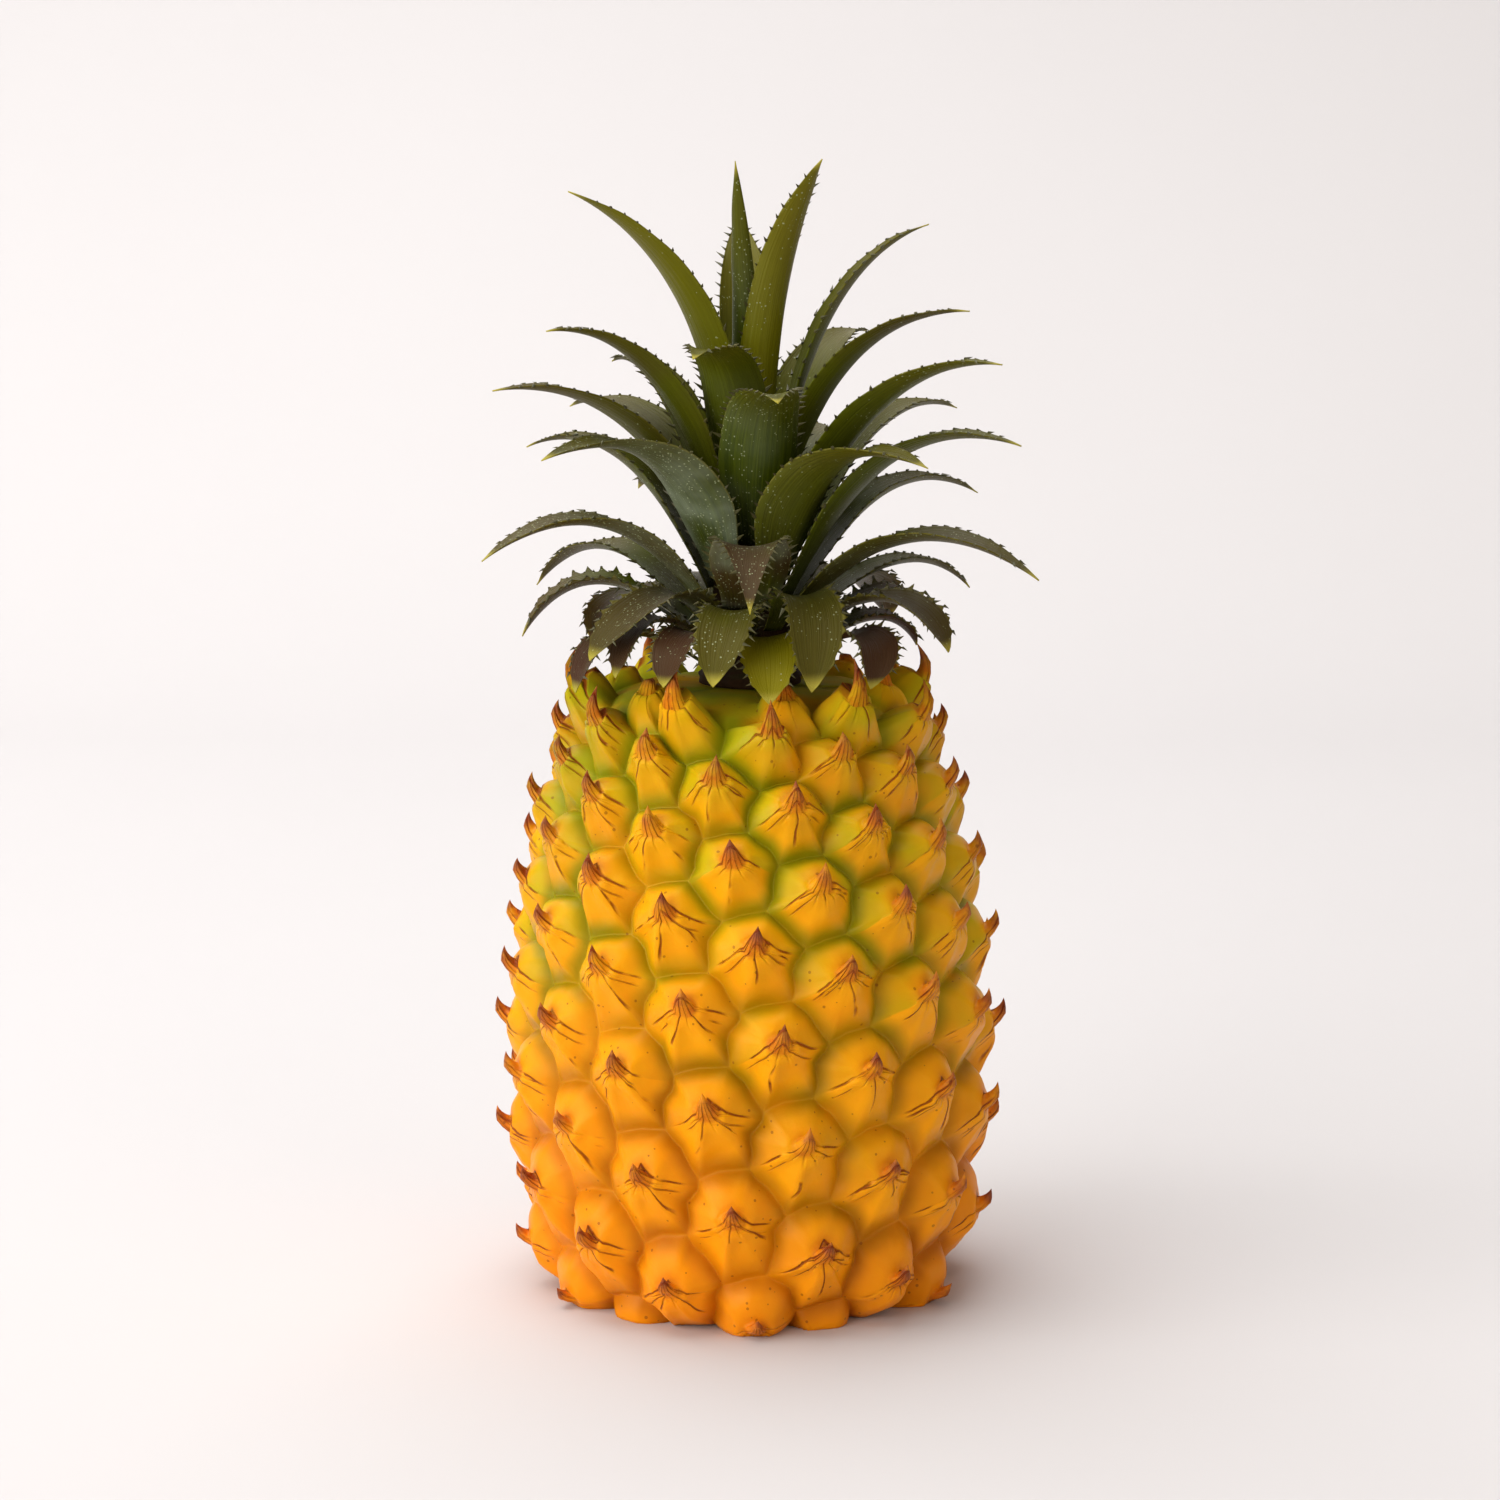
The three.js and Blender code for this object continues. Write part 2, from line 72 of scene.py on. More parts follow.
def new_piece(name, points, faces, masks, material):
    mesh = bpy.data.meshes.new(name)
    mesh.from_pydata((np.asarray(points) * MM).tolist(), [], faces)
    for mask, values in masks.items():
        layer = mesh.attributes.new(mask, "FLOAT", "POINT")
        layer.data.foreach_set("value", np.asarray(values, dtype=np.float32))
    mesh.materials.append(material)
    mesh.shade_smooth()
    piece = bpy.data.objects.new(name, mesh)
    bpy.context.collection.objects.link(piece)
    return piece


def triangles_of(piece):
    return sum(len(face.vertices) - 2 for face in piece.data.polygons)


def dress(piece, slot, *replaced):
    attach(piece, "root")
    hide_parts(*replaced)


# %% [markdown]
# ## Helpers for materials
# Each helper adds one node and joins its inputs, so that a material below reads as a short list of
# steps. An input may be a plain value or the output of another node.

# %% Helpers for node trees
def put(tree, socket, value):
    if isinstance(value, bpy.types.NodeSocket):
        tree.links.new(value, socket)
    elif value is not None:
        socket.default_value = value


def math_node(tree, operation, *values, clamp=False):
    node = tree.nodes.new("ShaderNodeMath")
    node.operation = operation
    node.use_clamp = clamp
    for socket, value in zip(node.inputs, values):
        put(tree, socket, value)
    return node.outputs[0]


def times(tree, *values):
    return math_node(tree, "MULTIPLY", *values)


def ramp_node(tree, value, low, high, out_low=0.0, out_high=1.0):
    node = tree.nodes.new("ShaderNodeMapRange")
    node.interpolation_type = "SMOOTHSTEP"
    for name, setting in zip(("Value", "From Min", "From Max", "To Min", "To Max"),
                             (value, low, high, out_low, out_high)):
        put(tree, node.inputs[name], setting)
    return node.outputs["Result"]


def mix_node(tree, share, first, second):
    node = tree.nodes.new("ShaderNodeMix")
    node.data_type = "RGBA"
    put(tree, node.inputs["Factor"], share)
    put(tree, node.inputs[6], first)
    put(tree, node.inputs[7], second)
    return node.outputs[2]


def noise_node(tree, vector, scale, detail=3.0, roughness=0.5):
    node = tree.nodes.new("ShaderNodeTexNoise")
    put(tree, node.inputs["Vector"], vector)
    put(tree, node.inputs["Scale"], scale)
    put(tree, node.inputs["Detail"], detail)
    put(tree, node.inputs["Roughness"], roughness)
    return node.outputs["Fac"]


def stretched(tree, vector, scale):
    node = tree.nodes.new("ShaderNodeMapping")
    put(tree, node.inputs["Vector"], vector)
    put(tree, node.inputs["Scale"], scale)
    return node.outputs["Vector"]


def mask_node(tree, name):
    node = tree.nodes.new("ShaderNodeAttribute")
    node.attribute_name = name
    return node.outputs["Fac"]


def places(tree):
    return tree.nodes.new("ShaderNodeTexCoord").outputs["Object"]


def joined(tree, *values):
    node = tree.nodes.new("ShaderNodeCombineXYZ")
    for socket, value in zip(node.inputs, values):
        put(tree, socket, value)
    return node.outputs[0]


def rgb(hex_colour):
    parts = [int(hex_colour[i:i + 2], 16) / 255 for i in (1, 3, 5)]
    linear = [c / 12.92 if c <= 0.04045 else ((c + 0.055) / 1.055) ** 2.4 for c in parts]
    return (*linear, 1.0)


def new_material(name):
    material = bpy.data.materials.new(name)
    material.use_nodes = True
    tree = material.node_tree
    return material, tree, tree.nodes["Principled BSDF"]


def bump_node(tree, height, distance, strength=1.0, normal=None):
    node = tree.nodes.new("ShaderNodeBump")
    put(tree, node.inputs["Height"], height)
    put(tree, node.inputs["Distance"], distance)
    put(tree, node.inputs["Strength"], strength)
    put(tree, node.inputs["Normal"], normal)
    return node.outputs["Normal"]


def effect_group(name, inputs, outputs):
    group = bpy.data.node_groups.new(name, "ShaderNodeTree")
    for title, kind in inputs.items():
        group.interface.new_socket(title, in_out="INPUT", socket_type=kind)
    for title, kind in outputs.items():
        group.interface.new_socket(title, in_out="OUTPUT", socket_type=kind)
    return group, group.nodes.new("NodeGroupInput"), group.nodes.new("NodeGroupOutput")


def use_group(tree, group, **values):
    node = tree.nodes.new("ShaderNodeGroup")
    node.node_tree = group
    for title, value in values.items():
        put(tree, node.inputs[title.replace("_", " ")], value)
    return node.outputs


# %% [markdown]
# ## Specks, a shared effect
# Both the skin and the leaves carry small specks: dry pale bloom on the leaves, and brown flecks
# on the skin. A Voronoi texture puts one point in each of its cells. A speck is the small disc
# round the point, and a second, slower noise decides where specks gather.

# %% Specks group
def build_specks():
    group, given, result = effect_group(
        "specks",
        {"Place": "NodeSocketVector", "Scale": "NodeSocketFloat", "Size": "NodeSocketFloat",
         "Gather": "NodeSocketFloat", "Amount": "NodeSocketFloat"},
        {"Mask": "NodeSocketFloat"})
    cells = group.nodes.new("ShaderNodeTexVoronoi")
    put(group, cells.inputs["Vector"], given.outputs["Place"])
    put(group, cells.inputs["Scale"], given.outputs["Scale"])
    tint = group.nodes.new("ShaderNodeSeparateColor")
    put(group, tint.inputs[0], cells.outputs["Color"])
    spread = ramp_node(group, tint.outputs[0], 0, 1, 0.4, 1.2)
    size = times(group, given.outputs["Size"], spread)
    disc = math_node(group, "LESS_THAN", cells.outputs["Distance"], size)
    gathered = noise_node(group, given.outputs["Place"], given.outputs["Gather"], 2.0)
    share = math_node(group, "ADD", gathered, math_node(group, "SUBTRACT", given.outputs["Amount"], 0.5))
    chosen = math_node(group, "GREATER_THAN", share, tint.outputs[1])
    put(group, result.inputs["Mask"], times(group, disc, chosen))
    return group


SPECKS = build_specks()
print("group", SPECKS.name)

# %% [markdown]
# ## Lines on a scale, a shared effect
# Brown lines run along the scale's upper edge and down its folds. The mesh tells each point how
# far it is to the side of its eye's middle and how far above it, so the same curves that shape the
# scale also place the lines, and they stay thin at any mesh size. A wave of twice as many turns
# gives the wrinkles that crease the skin below the claw.

# %% Scale lines group
EDGE_HALF, EDGE_RIGHT, EDGE_LEFT, EDGE_HOLLOW = 12, 0.6, -2.6, 1.6  # the scale's upper edge, in mm
EDGE_TOP, SECOND_EDGE = 6.2, 2.6  # mm above the eye's middle, and down to a fainter line
FOLDS_AROUND, WRINKLES = 3, 2.0  # half waves of the folds each way round, and wrinkles for each fold
EDGE_SWAY, FOLD_SWAY = 0.7, 0.35  # how far a wobble moves the edge, in mm, and the folds, in radians


def build_scale_lines():
    group, given, result = effect_group(
        "scale lines",
        {"Side": "NodeSocketFloat", "Lift": "NodeSocketFloat", "Round": "NodeSocketFloat",
         "Seed": "NodeSocketFloat", "Wobble": "NodeSocketFloat"},
        {"Edge": "NodeSocketFloat", "Fold": "NodeSocketFloat", "Wrinkle": "NodeSocketFloat",
         "Below": "NodeSocketFloat"})
    side, wobble = given.outputs["Side"], given.outputs["Wobble"]
    away = math_node(group, "DIVIDE", math_node(group, "ABSOLUTE", side), EDGE_HALF)
    hollow = math_node(group, "POWER", math_node(group, "SUBTRACT", 1.0, away, clamp=True), EDGE_HOLLOW)
    corner = ramp_node(group, side, -0.4, 0.4, EDGE_LEFT, EDGE_RIGHT)
    rest = times(group, math_node(group, "SUBTRACT", EDGE_TOP, corner), hollow)
    sway = times(group, wobble, EDGE_SWAY)
    level = math_node(group, "ADD", math_node(group, "ADD", corner, rest), sway)
    over = math_node(group, "SUBTRACT", given.outputs["Lift"], level)
    put(group, result.inputs["Below"], ramp_node(group, over, -0.3, 0.3, 1.0, 0.0))
    first = ramp_node(group, math_node(group, "ABSOLUTE", over), 0.05, 0.4, 1.0, 0.0)
    lower = math_node(group, "ABSOLUTE", math_node(group, "ADD", over, SECOND_EDGE))
    second = ramp_node(group, lower, 0.05, 0.35, 0.7, 0.0)
    put(group, result.inputs["Edge"], math_node(group, "MAXIMUM", first, second))
    angle = times(group, given.outputs["Round"], FOLDS_AROUND * math.pi)
    phase = math_node(group, "ADD", math_node(group, "ADD", angle, given.outputs["Seed"]),
                      times(group, wobble, FOLD_SWAY))
    wave = math_node(group, "ABSOLUTE", math_node(group, "SINE", phase))
    put(group, result.inputs["Fold"], ramp_node(group, wave, 0.02, 0.13, 1.0, 0.0))
    quicker = times(group, phase, WRINKLES)
    finer = math_node(group, "ABSOLUTE", math_node(group, "SINE", quicker))
    put(group, result.inputs["Wrinkle"], ramp_node(group, finer, 0.0, 0.6))
    return group


SCALE_LINES = build_scale_lines()
print("group", SCALE_LINES.name)

# %% [markdown]
# ## The skin's finish
# The skin is yellow-green in its grooves near the top, golden in the middle and orange at the foot. The
# grooves are also painted darker, as painted shade in the valleys between the eyes.
# The claws end in a mauve brown, and brown dry lines mark the scales. All of it comes from the
# height of a point and from the masks that the mesh carries.

# %% Skin material
def build_skin_material():
    material, tree, surface = new_material("pineapple_skin")
    place = places(tree)
    height = tree.nodes.new("ShaderNodeSeparateXYZ")
    put(tree, height.inputs[0], place)
    blotch = noise_node(tree, place, 26.0, 3.0)
    broad = noise_node(tree, place, 11.0, 2.0)
    fine = noise_node(tree, place, 160.0, 4.0, 0.6)
    level = math_node(tree, "ADD", height.outputs["Z"], ramp_node(tree, broad, 0.3, 0.7, -0.02, 0.02))
    raised, claw, sharp = (mask_node(tree, name) for name in ("from_groove", "claw", "sharpness"))
    wobble = ramp_node(tree, noise_node(tree, place, 80.0, 1.0), 0.2, 0.8, -1.0, 1.0)
    lines = use_group(tree, SCALE_LINES, Side=mask_node(tree, "eye_side"), Lift=mask_node(tree, "eye_lift"),
                      Round=mask_node(tree, "round_eye"), Seed=mask_node(tree, "eye_seed"), Wobble=wobble)
    below = lines["Below"]

    low = ramp_node(tree, level, 0.0, 0.075, 1.0, 0.0)
    face = mix_node(tree, low, rgb("#e89c04"), rgb("#f08c06"))
    face = mix_node(tree, ramp_node(tree, level, 0.08, 0.15), face, rgb("#cc9804"))
    cap = mix_node(tree, ramp_node(tree, level, 0.03, 0.11), rgb("#dd8404"), rgb("#b09c06"))
    # the groove colours are darker than the face: partly the grooves' own olive and orange, partly painted
    # shade in the valleys
    groove = mix_node(tree, ramp_node(tree, level, 0.02, 0.1), rgb("#b86604"), rgb("#8a8004"))
    top = ramp_node(tree, level, 0.12, 0.165)
    groove = mix_node(tree, top, groove, rgb("#84880a"))
    cap = mix_node(tree, top, cap, rgb("#a2980a"))
    capped = times(tree, math_node(tree, "SUBTRACT", 1.0, below), ramp_node(tree, claw, 0.0, 0.3, 1.0, 0.25))
    capped = times(tree, capped, ramp_node(tree, blotch, 0.3, 0.65, 0.35, 1.0))
    colour = mix_node(tree, capped, face, cap)
    # painted shade: the darker groove colour is laid over the valleys between the eyes and fades up each
    # eye's sides
    depth = ramp_node(tree, raised, 0.05, 0.4, 1.0, 0.0)
    groove_shade = times(tree, depth, ramp_node(tree, blotch, 0.3, 0.6, 0.55, 1.0))
    colour = mix_node(tree, groove_shade, colour, groove)
    green = times(tree, top, ramp_node(tree, blotch, 0.42, 0.6))
    colour = mix_node(tree, times(tree, green, 0.7), colour, rgb("#8c920a"))
    warm = ramp_node(tree, noise_node(tree, place, 45.0, 2.0), 0.45, 0.72, 0.0, 0.5)
    colour = mix_node(tree, warm, colour, rgb("#e58a08"))

    rough_edge = ramp_node(tree, fine, 0.3, 0.65, 0.25, 1.0)
    rust = times(tree, ramp_node(tree, claw, 0.1, 0.55), rough_edge)
    colour = mix_node(tree, times(tree, rust, 0.8), colour, rgb("#b9560f"))
    tip = times(tree, ramp_node(tree, claw, 0.5, 0.85), rough_edge)
    colour = mix_node(tree, times(tree, tip, 0.85), colour, rgb("#6e342c"))

    dashes = ramp_node(tree, noise_node(tree, place, 95.0, 2.0), 0.43, 0.53)
    fold = times(tree, lines["Fold"], times(tree, below, dashes))
    fold = times(tree, fold, ramp_node(tree, raised, 0.2, 0.4))
    edge = times(tree, lines["Edge"], ramp_node(tree, raised, 0.2, 0.45))
    edge = times(tree, edge, ramp_node(tree, noise_node(tree, place, 85.0, 2.0), 0.39, 0.5))
    broken = ramp_node(tree, fine, 0.3, 0.5, 0.35, 1.0)
    marks = times(tree, math_node(tree, "MAXIMUM", fold, edge), broken)
    marks = times(tree, marks, ramp_node(tree, sharp, 0.1, 0.6, 0.3, 1.0))
    colour = mix_node(tree, times(tree, marks, 0.9), colour, rgb("#85300c"))
    flecks = use_group(tree, SPECKS, Place=place, Scale=520.0, Size=0.2, Gather=45.0, Amount=0.16)["Mask"]
    colour = mix_node(tree, times(tree, flecks, 0.55), colour, rgb("#6a2a0a"))

    put(tree, surface.inputs["Base Color"], colour)
    gloss = ramp_node(tree, fine, 0.3, 0.7, 0.36, 0.52)
    dull = ramp_node(tree, height.outputs["Z"], 0.156, 0.16, 0.0, 0.5)
    put(tree, surface.inputs["Roughness"], math_node(tree, "ADD", gloss, dull, clamp=True))
    surface.inputs["Specular IOR Level"].default_value = 0.2
    surface.inputs["Specular Tint"].default_value = (1, 0.85, 0.5, 1)
    surface.inputs["Subsurface Weight"].default_value = 0.2
    surface.inputs["Subsurface Radius"].default_value = (0.003, 0.001, 0.0002)
    scored = math_node(tree, "SUBTRACT", ramp_node(tree, blotch, 0, 1, 0, 0.6), marks)
    creased = times(tree, lines["Wrinkle"], ramp_node(tree, claw, 0.01, 0.2, 0.0, 0.7))
    scored = math_node(tree, "ADD", scored, times(tree, creased, below))
    put(tree, surface.inputs["Normal"],
        bump_node(tree, fine, 0.0003, 0.5, bump_node(tree, scored, 0.0008, 0.8)))
    return material


SKIN = build_skin_material()
print("material", SKIN.name)

# %% [markdown]
# ## The leaves' finish
# A leaf is dark green with faint lines along it, a dull yellow rim in places, a yellow point and a
# dry bloom of pale specks. The lowest leaves turn brown and maroon. One material serves them all:
# each leaf's mesh says how brown, how bloomed and how golden that leaf is.

# %% Leaf material
VEINS_ACROSS, VEINS_ALONG = 16.0, 1.6


def build_leaf_material():
    material, tree, surface = new_material("pineapple_leaf")
    place = places(tree)
    along = mask_node(tree, "along")
    across = mask_node(tree, "across")
    tone = mask_node(tree, "tone")
    brown = mask_node(tree, "brown")
    bloom = mask_node(tree, "bloom")
    golden = mask_node(tree, "golden")
    blotch = noise_node(tree, place, 30.0, 3.0)

    veins = joined(tree, times(tree, across, VEINS_ACROSS), times(tree, along, VEINS_ALONG), tone)
    vein = noise_node(tree, veins, 1.0, 3.0, 0.55)
    green = mix_node(tree, tone, rgb("#263702"), rgb("#4a5402"))
    green = mix_node(tree, ramp_node(tree, blotch, 0.4, 0.7, 0.0, 0.6), green, rgb("#1c2f04"))
    green = mix_node(tree, ramp_node(tree, vein, 0.35, 0.7, 0.0, 0.45), green, rgb("#566208"))
    aged = math_node(tree, "ADD", along, times(tree, blotch, 0.3))
    olive = ramp_node(tree, aged, 0.45, 1.0)
    green = mix_node(tree, times(tree, olive, 0.6), green, rgb("#4f4808"))
    green = mix_node(tree, golden, green, rgb("#7c7404"))
    dry = math_node(tree, "ADD", blotch, times(tree, along, 0.35))
    patch = ramp_node(tree, dry, 0.4, 0.75)
    colour = mix_node(tree, times(tree, patch, brown), green, rgb("#40271a"))
    haze = ramp_node(tree, noise_node(tree, place, 45.0, 4.0), 0.35, 0.7)
    root_side = ramp_node(tree, along, 0.1, 0.75, 1.0, 0.15)
    dusty = times(tree, bloom, bloom)
    powder = times(tree, times(tree, haze, root_side), dusty)
    colour = mix_node(tree, times(tree, powder, 0.65), colour, rgb("#96a088"))
    specks = use_group(tree, SPECKS, Place=place, Scale=1500.0, Size=0.3, Gather=60.0,
                       Amount=ramp_node(tree, bloom, 0.0, 1.0, -0.05, 0.5))["Mask"]
    colour = mix_node(tree, times(tree, specks, 0.6), colour, rgb("#a9b088"))

    out = math_node(tree, "ABSOLUTE", across)
    worn = ramp_node(tree, blotch, 0.4, 0.65, 0.0, 0.5)
    rim = times(tree, ramp_node(tree, out, 0.96, 1.0), worn)
    colour = mix_node(tree, rim, colour, rgb("#77702c"))
    point = ramp_node(tree, along, 0.93, 0.995)
    colour = mix_node(tree, point, colour, rgb("#a89c3c"))

    put(tree, surface.inputs["Base Color"], colour)
    put(tree, surface.inputs["Roughness"], ramp_node(tree, powder, 0.0, 1.0, 0.42, 0.75))
    surface.inputs["Specular IOR Level"].default_value = 0.15
    surface.inputs["Specular Tint"].default_value = (1, 1, 0.6, 1)
    surface.inputs["Subsurface Weight"].default_value = 0.08
    surface.inputs["Subsurface Radius"].default_value = (0.002, 0.003, 0.001)
    put(tree, surface.inputs["Normal"], bump_node(tree, vein, 0.0006, 0.5))
    return material


LEAF = build_leaf_material()
print("material", LEAF.name)

# %% Spine and stem materials
def build_spine_material():
    material, tree, surface = new_material("leaf_spine")
    shade = noise_node(tree, places(tree), 300.0, 2.0)
    put(tree, surface.inputs["Base Color"], mix_node(tree, shade, rgb("#1c260c"), rgb("#5e5628")))
    put(tree, surface.inputs["Roughness"], ramp_node(tree, shade, 0.2, 0.8, 0.45, 0.65))
    return material


def build_stem_material():
    material, tree, surface = new_material("crown_stem_bark")
    place = places(tree)
    fibre = noise_node(tree, stretched(tree, place, (1.0, 1.0, 0.12)), 260.0, 4.0, 0.6)
    ring = noise_node(tree, stretched(tree, place, (0.15, 0.15, 1.0)), 300.0, 3.0)
    colour = mix_node(tree, fibre, rgb("#160f08"), rgb("#3c2614"))
    colour = mix_node(tree, ramp_node(tree, ring, 0.5, 0.7, 0.0, 0.5), colour, rgb("#2c2f16"))
    put(tree, surface.inputs["Base Color"], colour)
    put(tree, surface.inputs["Roughness"], ramp_node(tree, fibre, 0.2, 0.8, 0.7, 0.9))
    surface.inputs["Specular IOR Level"].default_value = 0.1
    put(tree, surface.inputs["Normal"], bump_node(tree, fibre, 0.0008, 0.7))
    return material


SPINE = build_spine_material()
STEM = build_stem_material()
print("materials", SPINE.name, STEM.name)

# %% [markdown]
# ## The fruit
# The fruit is one skin whose eyes follow a rule: whorls of six, each turned and lowered from the
# one above, which gives the crossing spirals of a real pineapple. Modifiers would be slow to steer
# here, so the skin is written as a formula. The bare groove surface is a spline turned about the
# axis. Each eye is a patch of rings that runs from the groove, over a dome, to the tip of a claw.

# %% The groove surface
GROOVE = np.array([
    [-26, 25, -2], [-15, 36.5, -2], [-6, 44.5, -1], [3, 49.9, 4.5], [12, 53.4, 12], [27, 56.2, 27],
    [50, 58.3, 50], [76, 58.4, 76], [97, 56.6, 97], [111, 54.4, 111], [123, 51.6, 123], [136, 48.2, 136],
    [145, 45.1, 144.8], [153, 41.9, 152.3], [161, 37, 158.4], [169, 28.2, 161.6], [177, 17, 162],
    [185, 9, 162]])  # way up the fruit, radius, height
FRUIT_TOP = 162
SLOPE_STEP = 0.4  # mm up and down, over which a slope is measured


def groove_point(way):
    last = len(GROOVE) - 1
    share = np.interp(way, GROOVE[:, 0], np.arange(last + 1))
    i = np.clip(np.floor(share).astype(int), 0, last - 1)
    t = (share - i)[..., None]
    a, b, c, d = (GROOVE[np.clip(i + k, 0, last), 1:] for k in (-1, 0, 1, 2))
    square, cube = 2 * a - 5 * b + 4 * c - d, 3 * b - a - 3 * c + d
    return 0.5 * (2 * b + (c - a) * t + square * t ** 2 + cube * t ** 3)


def skin(turn, way):
    here = groove_point(way)
    along = groove_point(way + SLOPE_STEP) - groove_point(way - SLOPE_STEP)
    along /= np.maximum(np.linalg.norm(along, axis=-1, keepdims=True), 1e-6)
    across = np.stack([np.cos(turn), np.sin(turn), 0 * turn], axis=-1)
    up = polar(along[..., 0], turn, along[..., 1])
    return polar(here[..., 0], turn, here[..., 1]), across, up, np.cross(across, up), here[..., 0]


print("widest groove", GROOVE[:, 1].max(), "mm")

# %% The eyes' places
EYES_IN_WHORL, TOP_WHORL, BOTTOM_WHORL = 6, -10, 12
BARE_ABOVE, BARE_BELOW = 2, 2
MID_TURN, WHORL_TURN, TOP_TWIST, TWISTED_WHORL = 1.2, 21.85, -9, -9
MID_HEIGHT, WHORL_DROP, WHORL_DROP_GROWTH = 99.3, 7.47, 0.132
ROUND_TOP = 0.53
AROUND = [(1, 0), (-2, 1), (-3, 1), (-1, 0), (2, -1), (3, -1)]
STEPS_ON_EDGE = 3
GROOVE_SWAY = 0.7  # mm, so that no groove runs quite straight
SIDE_WAVE, LIFT_WAVE = (9, 0.55), (7, -0.45)  # waves of that sway: by turn, and by mm up the fruit
MIDDLE_RADIUS = 57  # mm, which turns a sideways sway into an angle


def whorl_way(whorl):
    return MID_HEIGHT - WHORL_DROP * whorl - WHORL_DROP_GROWTH * whorl ** 2


def eye_spot(whorl, column):
    twist = TOP_TWIST if whorl <= TWISTED_WHORL else 0
    turn = MID_TURN + WHORL_TURN * whorl + 360 / EYES_IN_WHORL * column + twist
    return np.array([math.radians(turn), whorl_way(whorl)])


def groove_ring(whorl, column):
    centre = eye_spot(whorl, column)
    beside = [eye_spot(whorl + down, column + side) for down, side in AROUND]
    corners = []
    for i, spot in enumerate(beside):
        after = beside[(i + 1) % len(beside)]
        lower, upper = (centre, spot) if centre[1] < spot[1] else (spot, centre)
        corners += [mix(lower, upper, ROUND_TOP), (centre + spot + after) / 3]
    ring = []
    for i, spot in enumerate(corners):
        after = corners[(i + 1) % len(corners)]
        ring += [mix(spot, after, k / STEPS_ON_EDGE) for k in range(STEPS_ON_EDGE)]
    ring = np.array(ring)
    turn, way = ring[:, 0], ring[:, 1]
    sideways = GROOVE_SWAY * np.sin(SIDE_WAVE[0] * turn + SIDE_WAVE[1] * way) / MIDDLE_RADIUS
    upwards = GROOVE_SWAY * np.sin(LIFT_WAVE[0] * turn + LIFT_WAVE[1] * way)
    return centre, ring + np.stack([sideways, upwards], axis=-1)


print("eyes", EYES_IN_WHORL * (BOTTOM_WHORL - TOP_WHORL + 1))

# %% [markdown]
# An eye is a smooth cap with a scale that hangs from the claw like a cloak. The scale's upper edge
# runs from the claw to the left and right corners in two hollow curves, and stands proud of the cap.
# Below, the scale falls in a few flat folds. The same falls to the groove as in the solid are used,
# with the groove's bottom rounded. The claw bends up, and its rings turn with it, so it never pinches.

# %% One eye
CAP_RISE, CAP_FULLNESS = 5.7, 2
SCALE_RISE, SCALE_FULLNESS, RIDGE_FULLNESS = 6.9, 1.35, 1.15
CLAW_ROOT_LIFT, CLAW_HALF_WIDTH, CLAW_SIDE_DROP = 5.2, 3, 1.2
CLAW_BACK, CLAW_FRONT, CLAW_NOTCH = 0.9, 3.4, 1
CLAW_TIP_RISE, CLAW_TIP_LIFT, BLUNT_TIP_RISE = 9.3, 9.2, 1.2
CLAW_HOOK = (1.2, 0.8)  # where the claw bends: mm above its root, and share of its rise
EYE_SIZE, EYE_GROWTH, CLAW_LEAN = 0.94, 0.12, 1.6
TOP_CLAW_GROWTH, TOP_CLAWS_ABOVE, BLUNT_BELOW, BLUNTEST = 0.45, 145, 22, 0.15
CROWDED_ABOVE, CROWDED_SIZE = 158, 0.75
BALD_RADIUS, DOMED_RADIUS = 17, 30
LIP, LIP_SHADE, LIP_REACH, FOLD = 0.8, 0.6, 1.3, 1.5
RIDGE_EDGE = (0.1, 0.7)  # where the scale's rise gives way to the cap's
ROUND_GROOVE, UNEVEN = 0.04, 0.28
DOME_SHARE, CLAW_SHARE, NEAR_CLAW = 0.85, 0.45, 9  # masks where the claw starts, and its reach in mm
DOME_RINGS = np.array([1, 0.97, 0.93, 0.88, 0.82, 0.74, 0.65, 0.55, 0.45, 0.35, 0.25, 0.16, 0.08])
CLAW_RINGS = np.array([0, 0.2, 0.4, 0.6, 0.78, 0.92])
FOLD_KINDS, FOLD_STEP = 17, 0.37  # ways that folds may lie, and radians from one to the next
FOLDS_DOWN, FOLDS_BESIDE = 7, 13  # steps to the next whorl's and the next column's way
EDGE_BLEND = 0.35  # mm on each side of the scale's edge
MASKS = ("from_groove", "claw", "round_eye", "eye_side", "eye_lift", "eye_seed", "sharpness")


def scale_edge(side):
    corner = np.where(side > 0, EDGE_RIGHT, EDGE_LEFT)
    share = np.clip(1 - np.abs(side) / EDGE_HALF, 0, 1)
    return mix(corner, EDGE_TOP, share ** EDGE_HOLLOW)


def eye_rise(top, s):
    cap = CAP_RISE * (1 - s ** CAP_FULLNESS)
    scale = SCALE_RISE * (1 - s ** mix(RIDGE_FULLNESS, SCALE_FULLNESS, smooth(-top, 0, RIDGE_EDGE[1])))
    return mix(scale, cap, smooth(top, *RIDGE_EDGE)) * (1 - np.exp(-(1 - s) / ROUND_GROOVE))


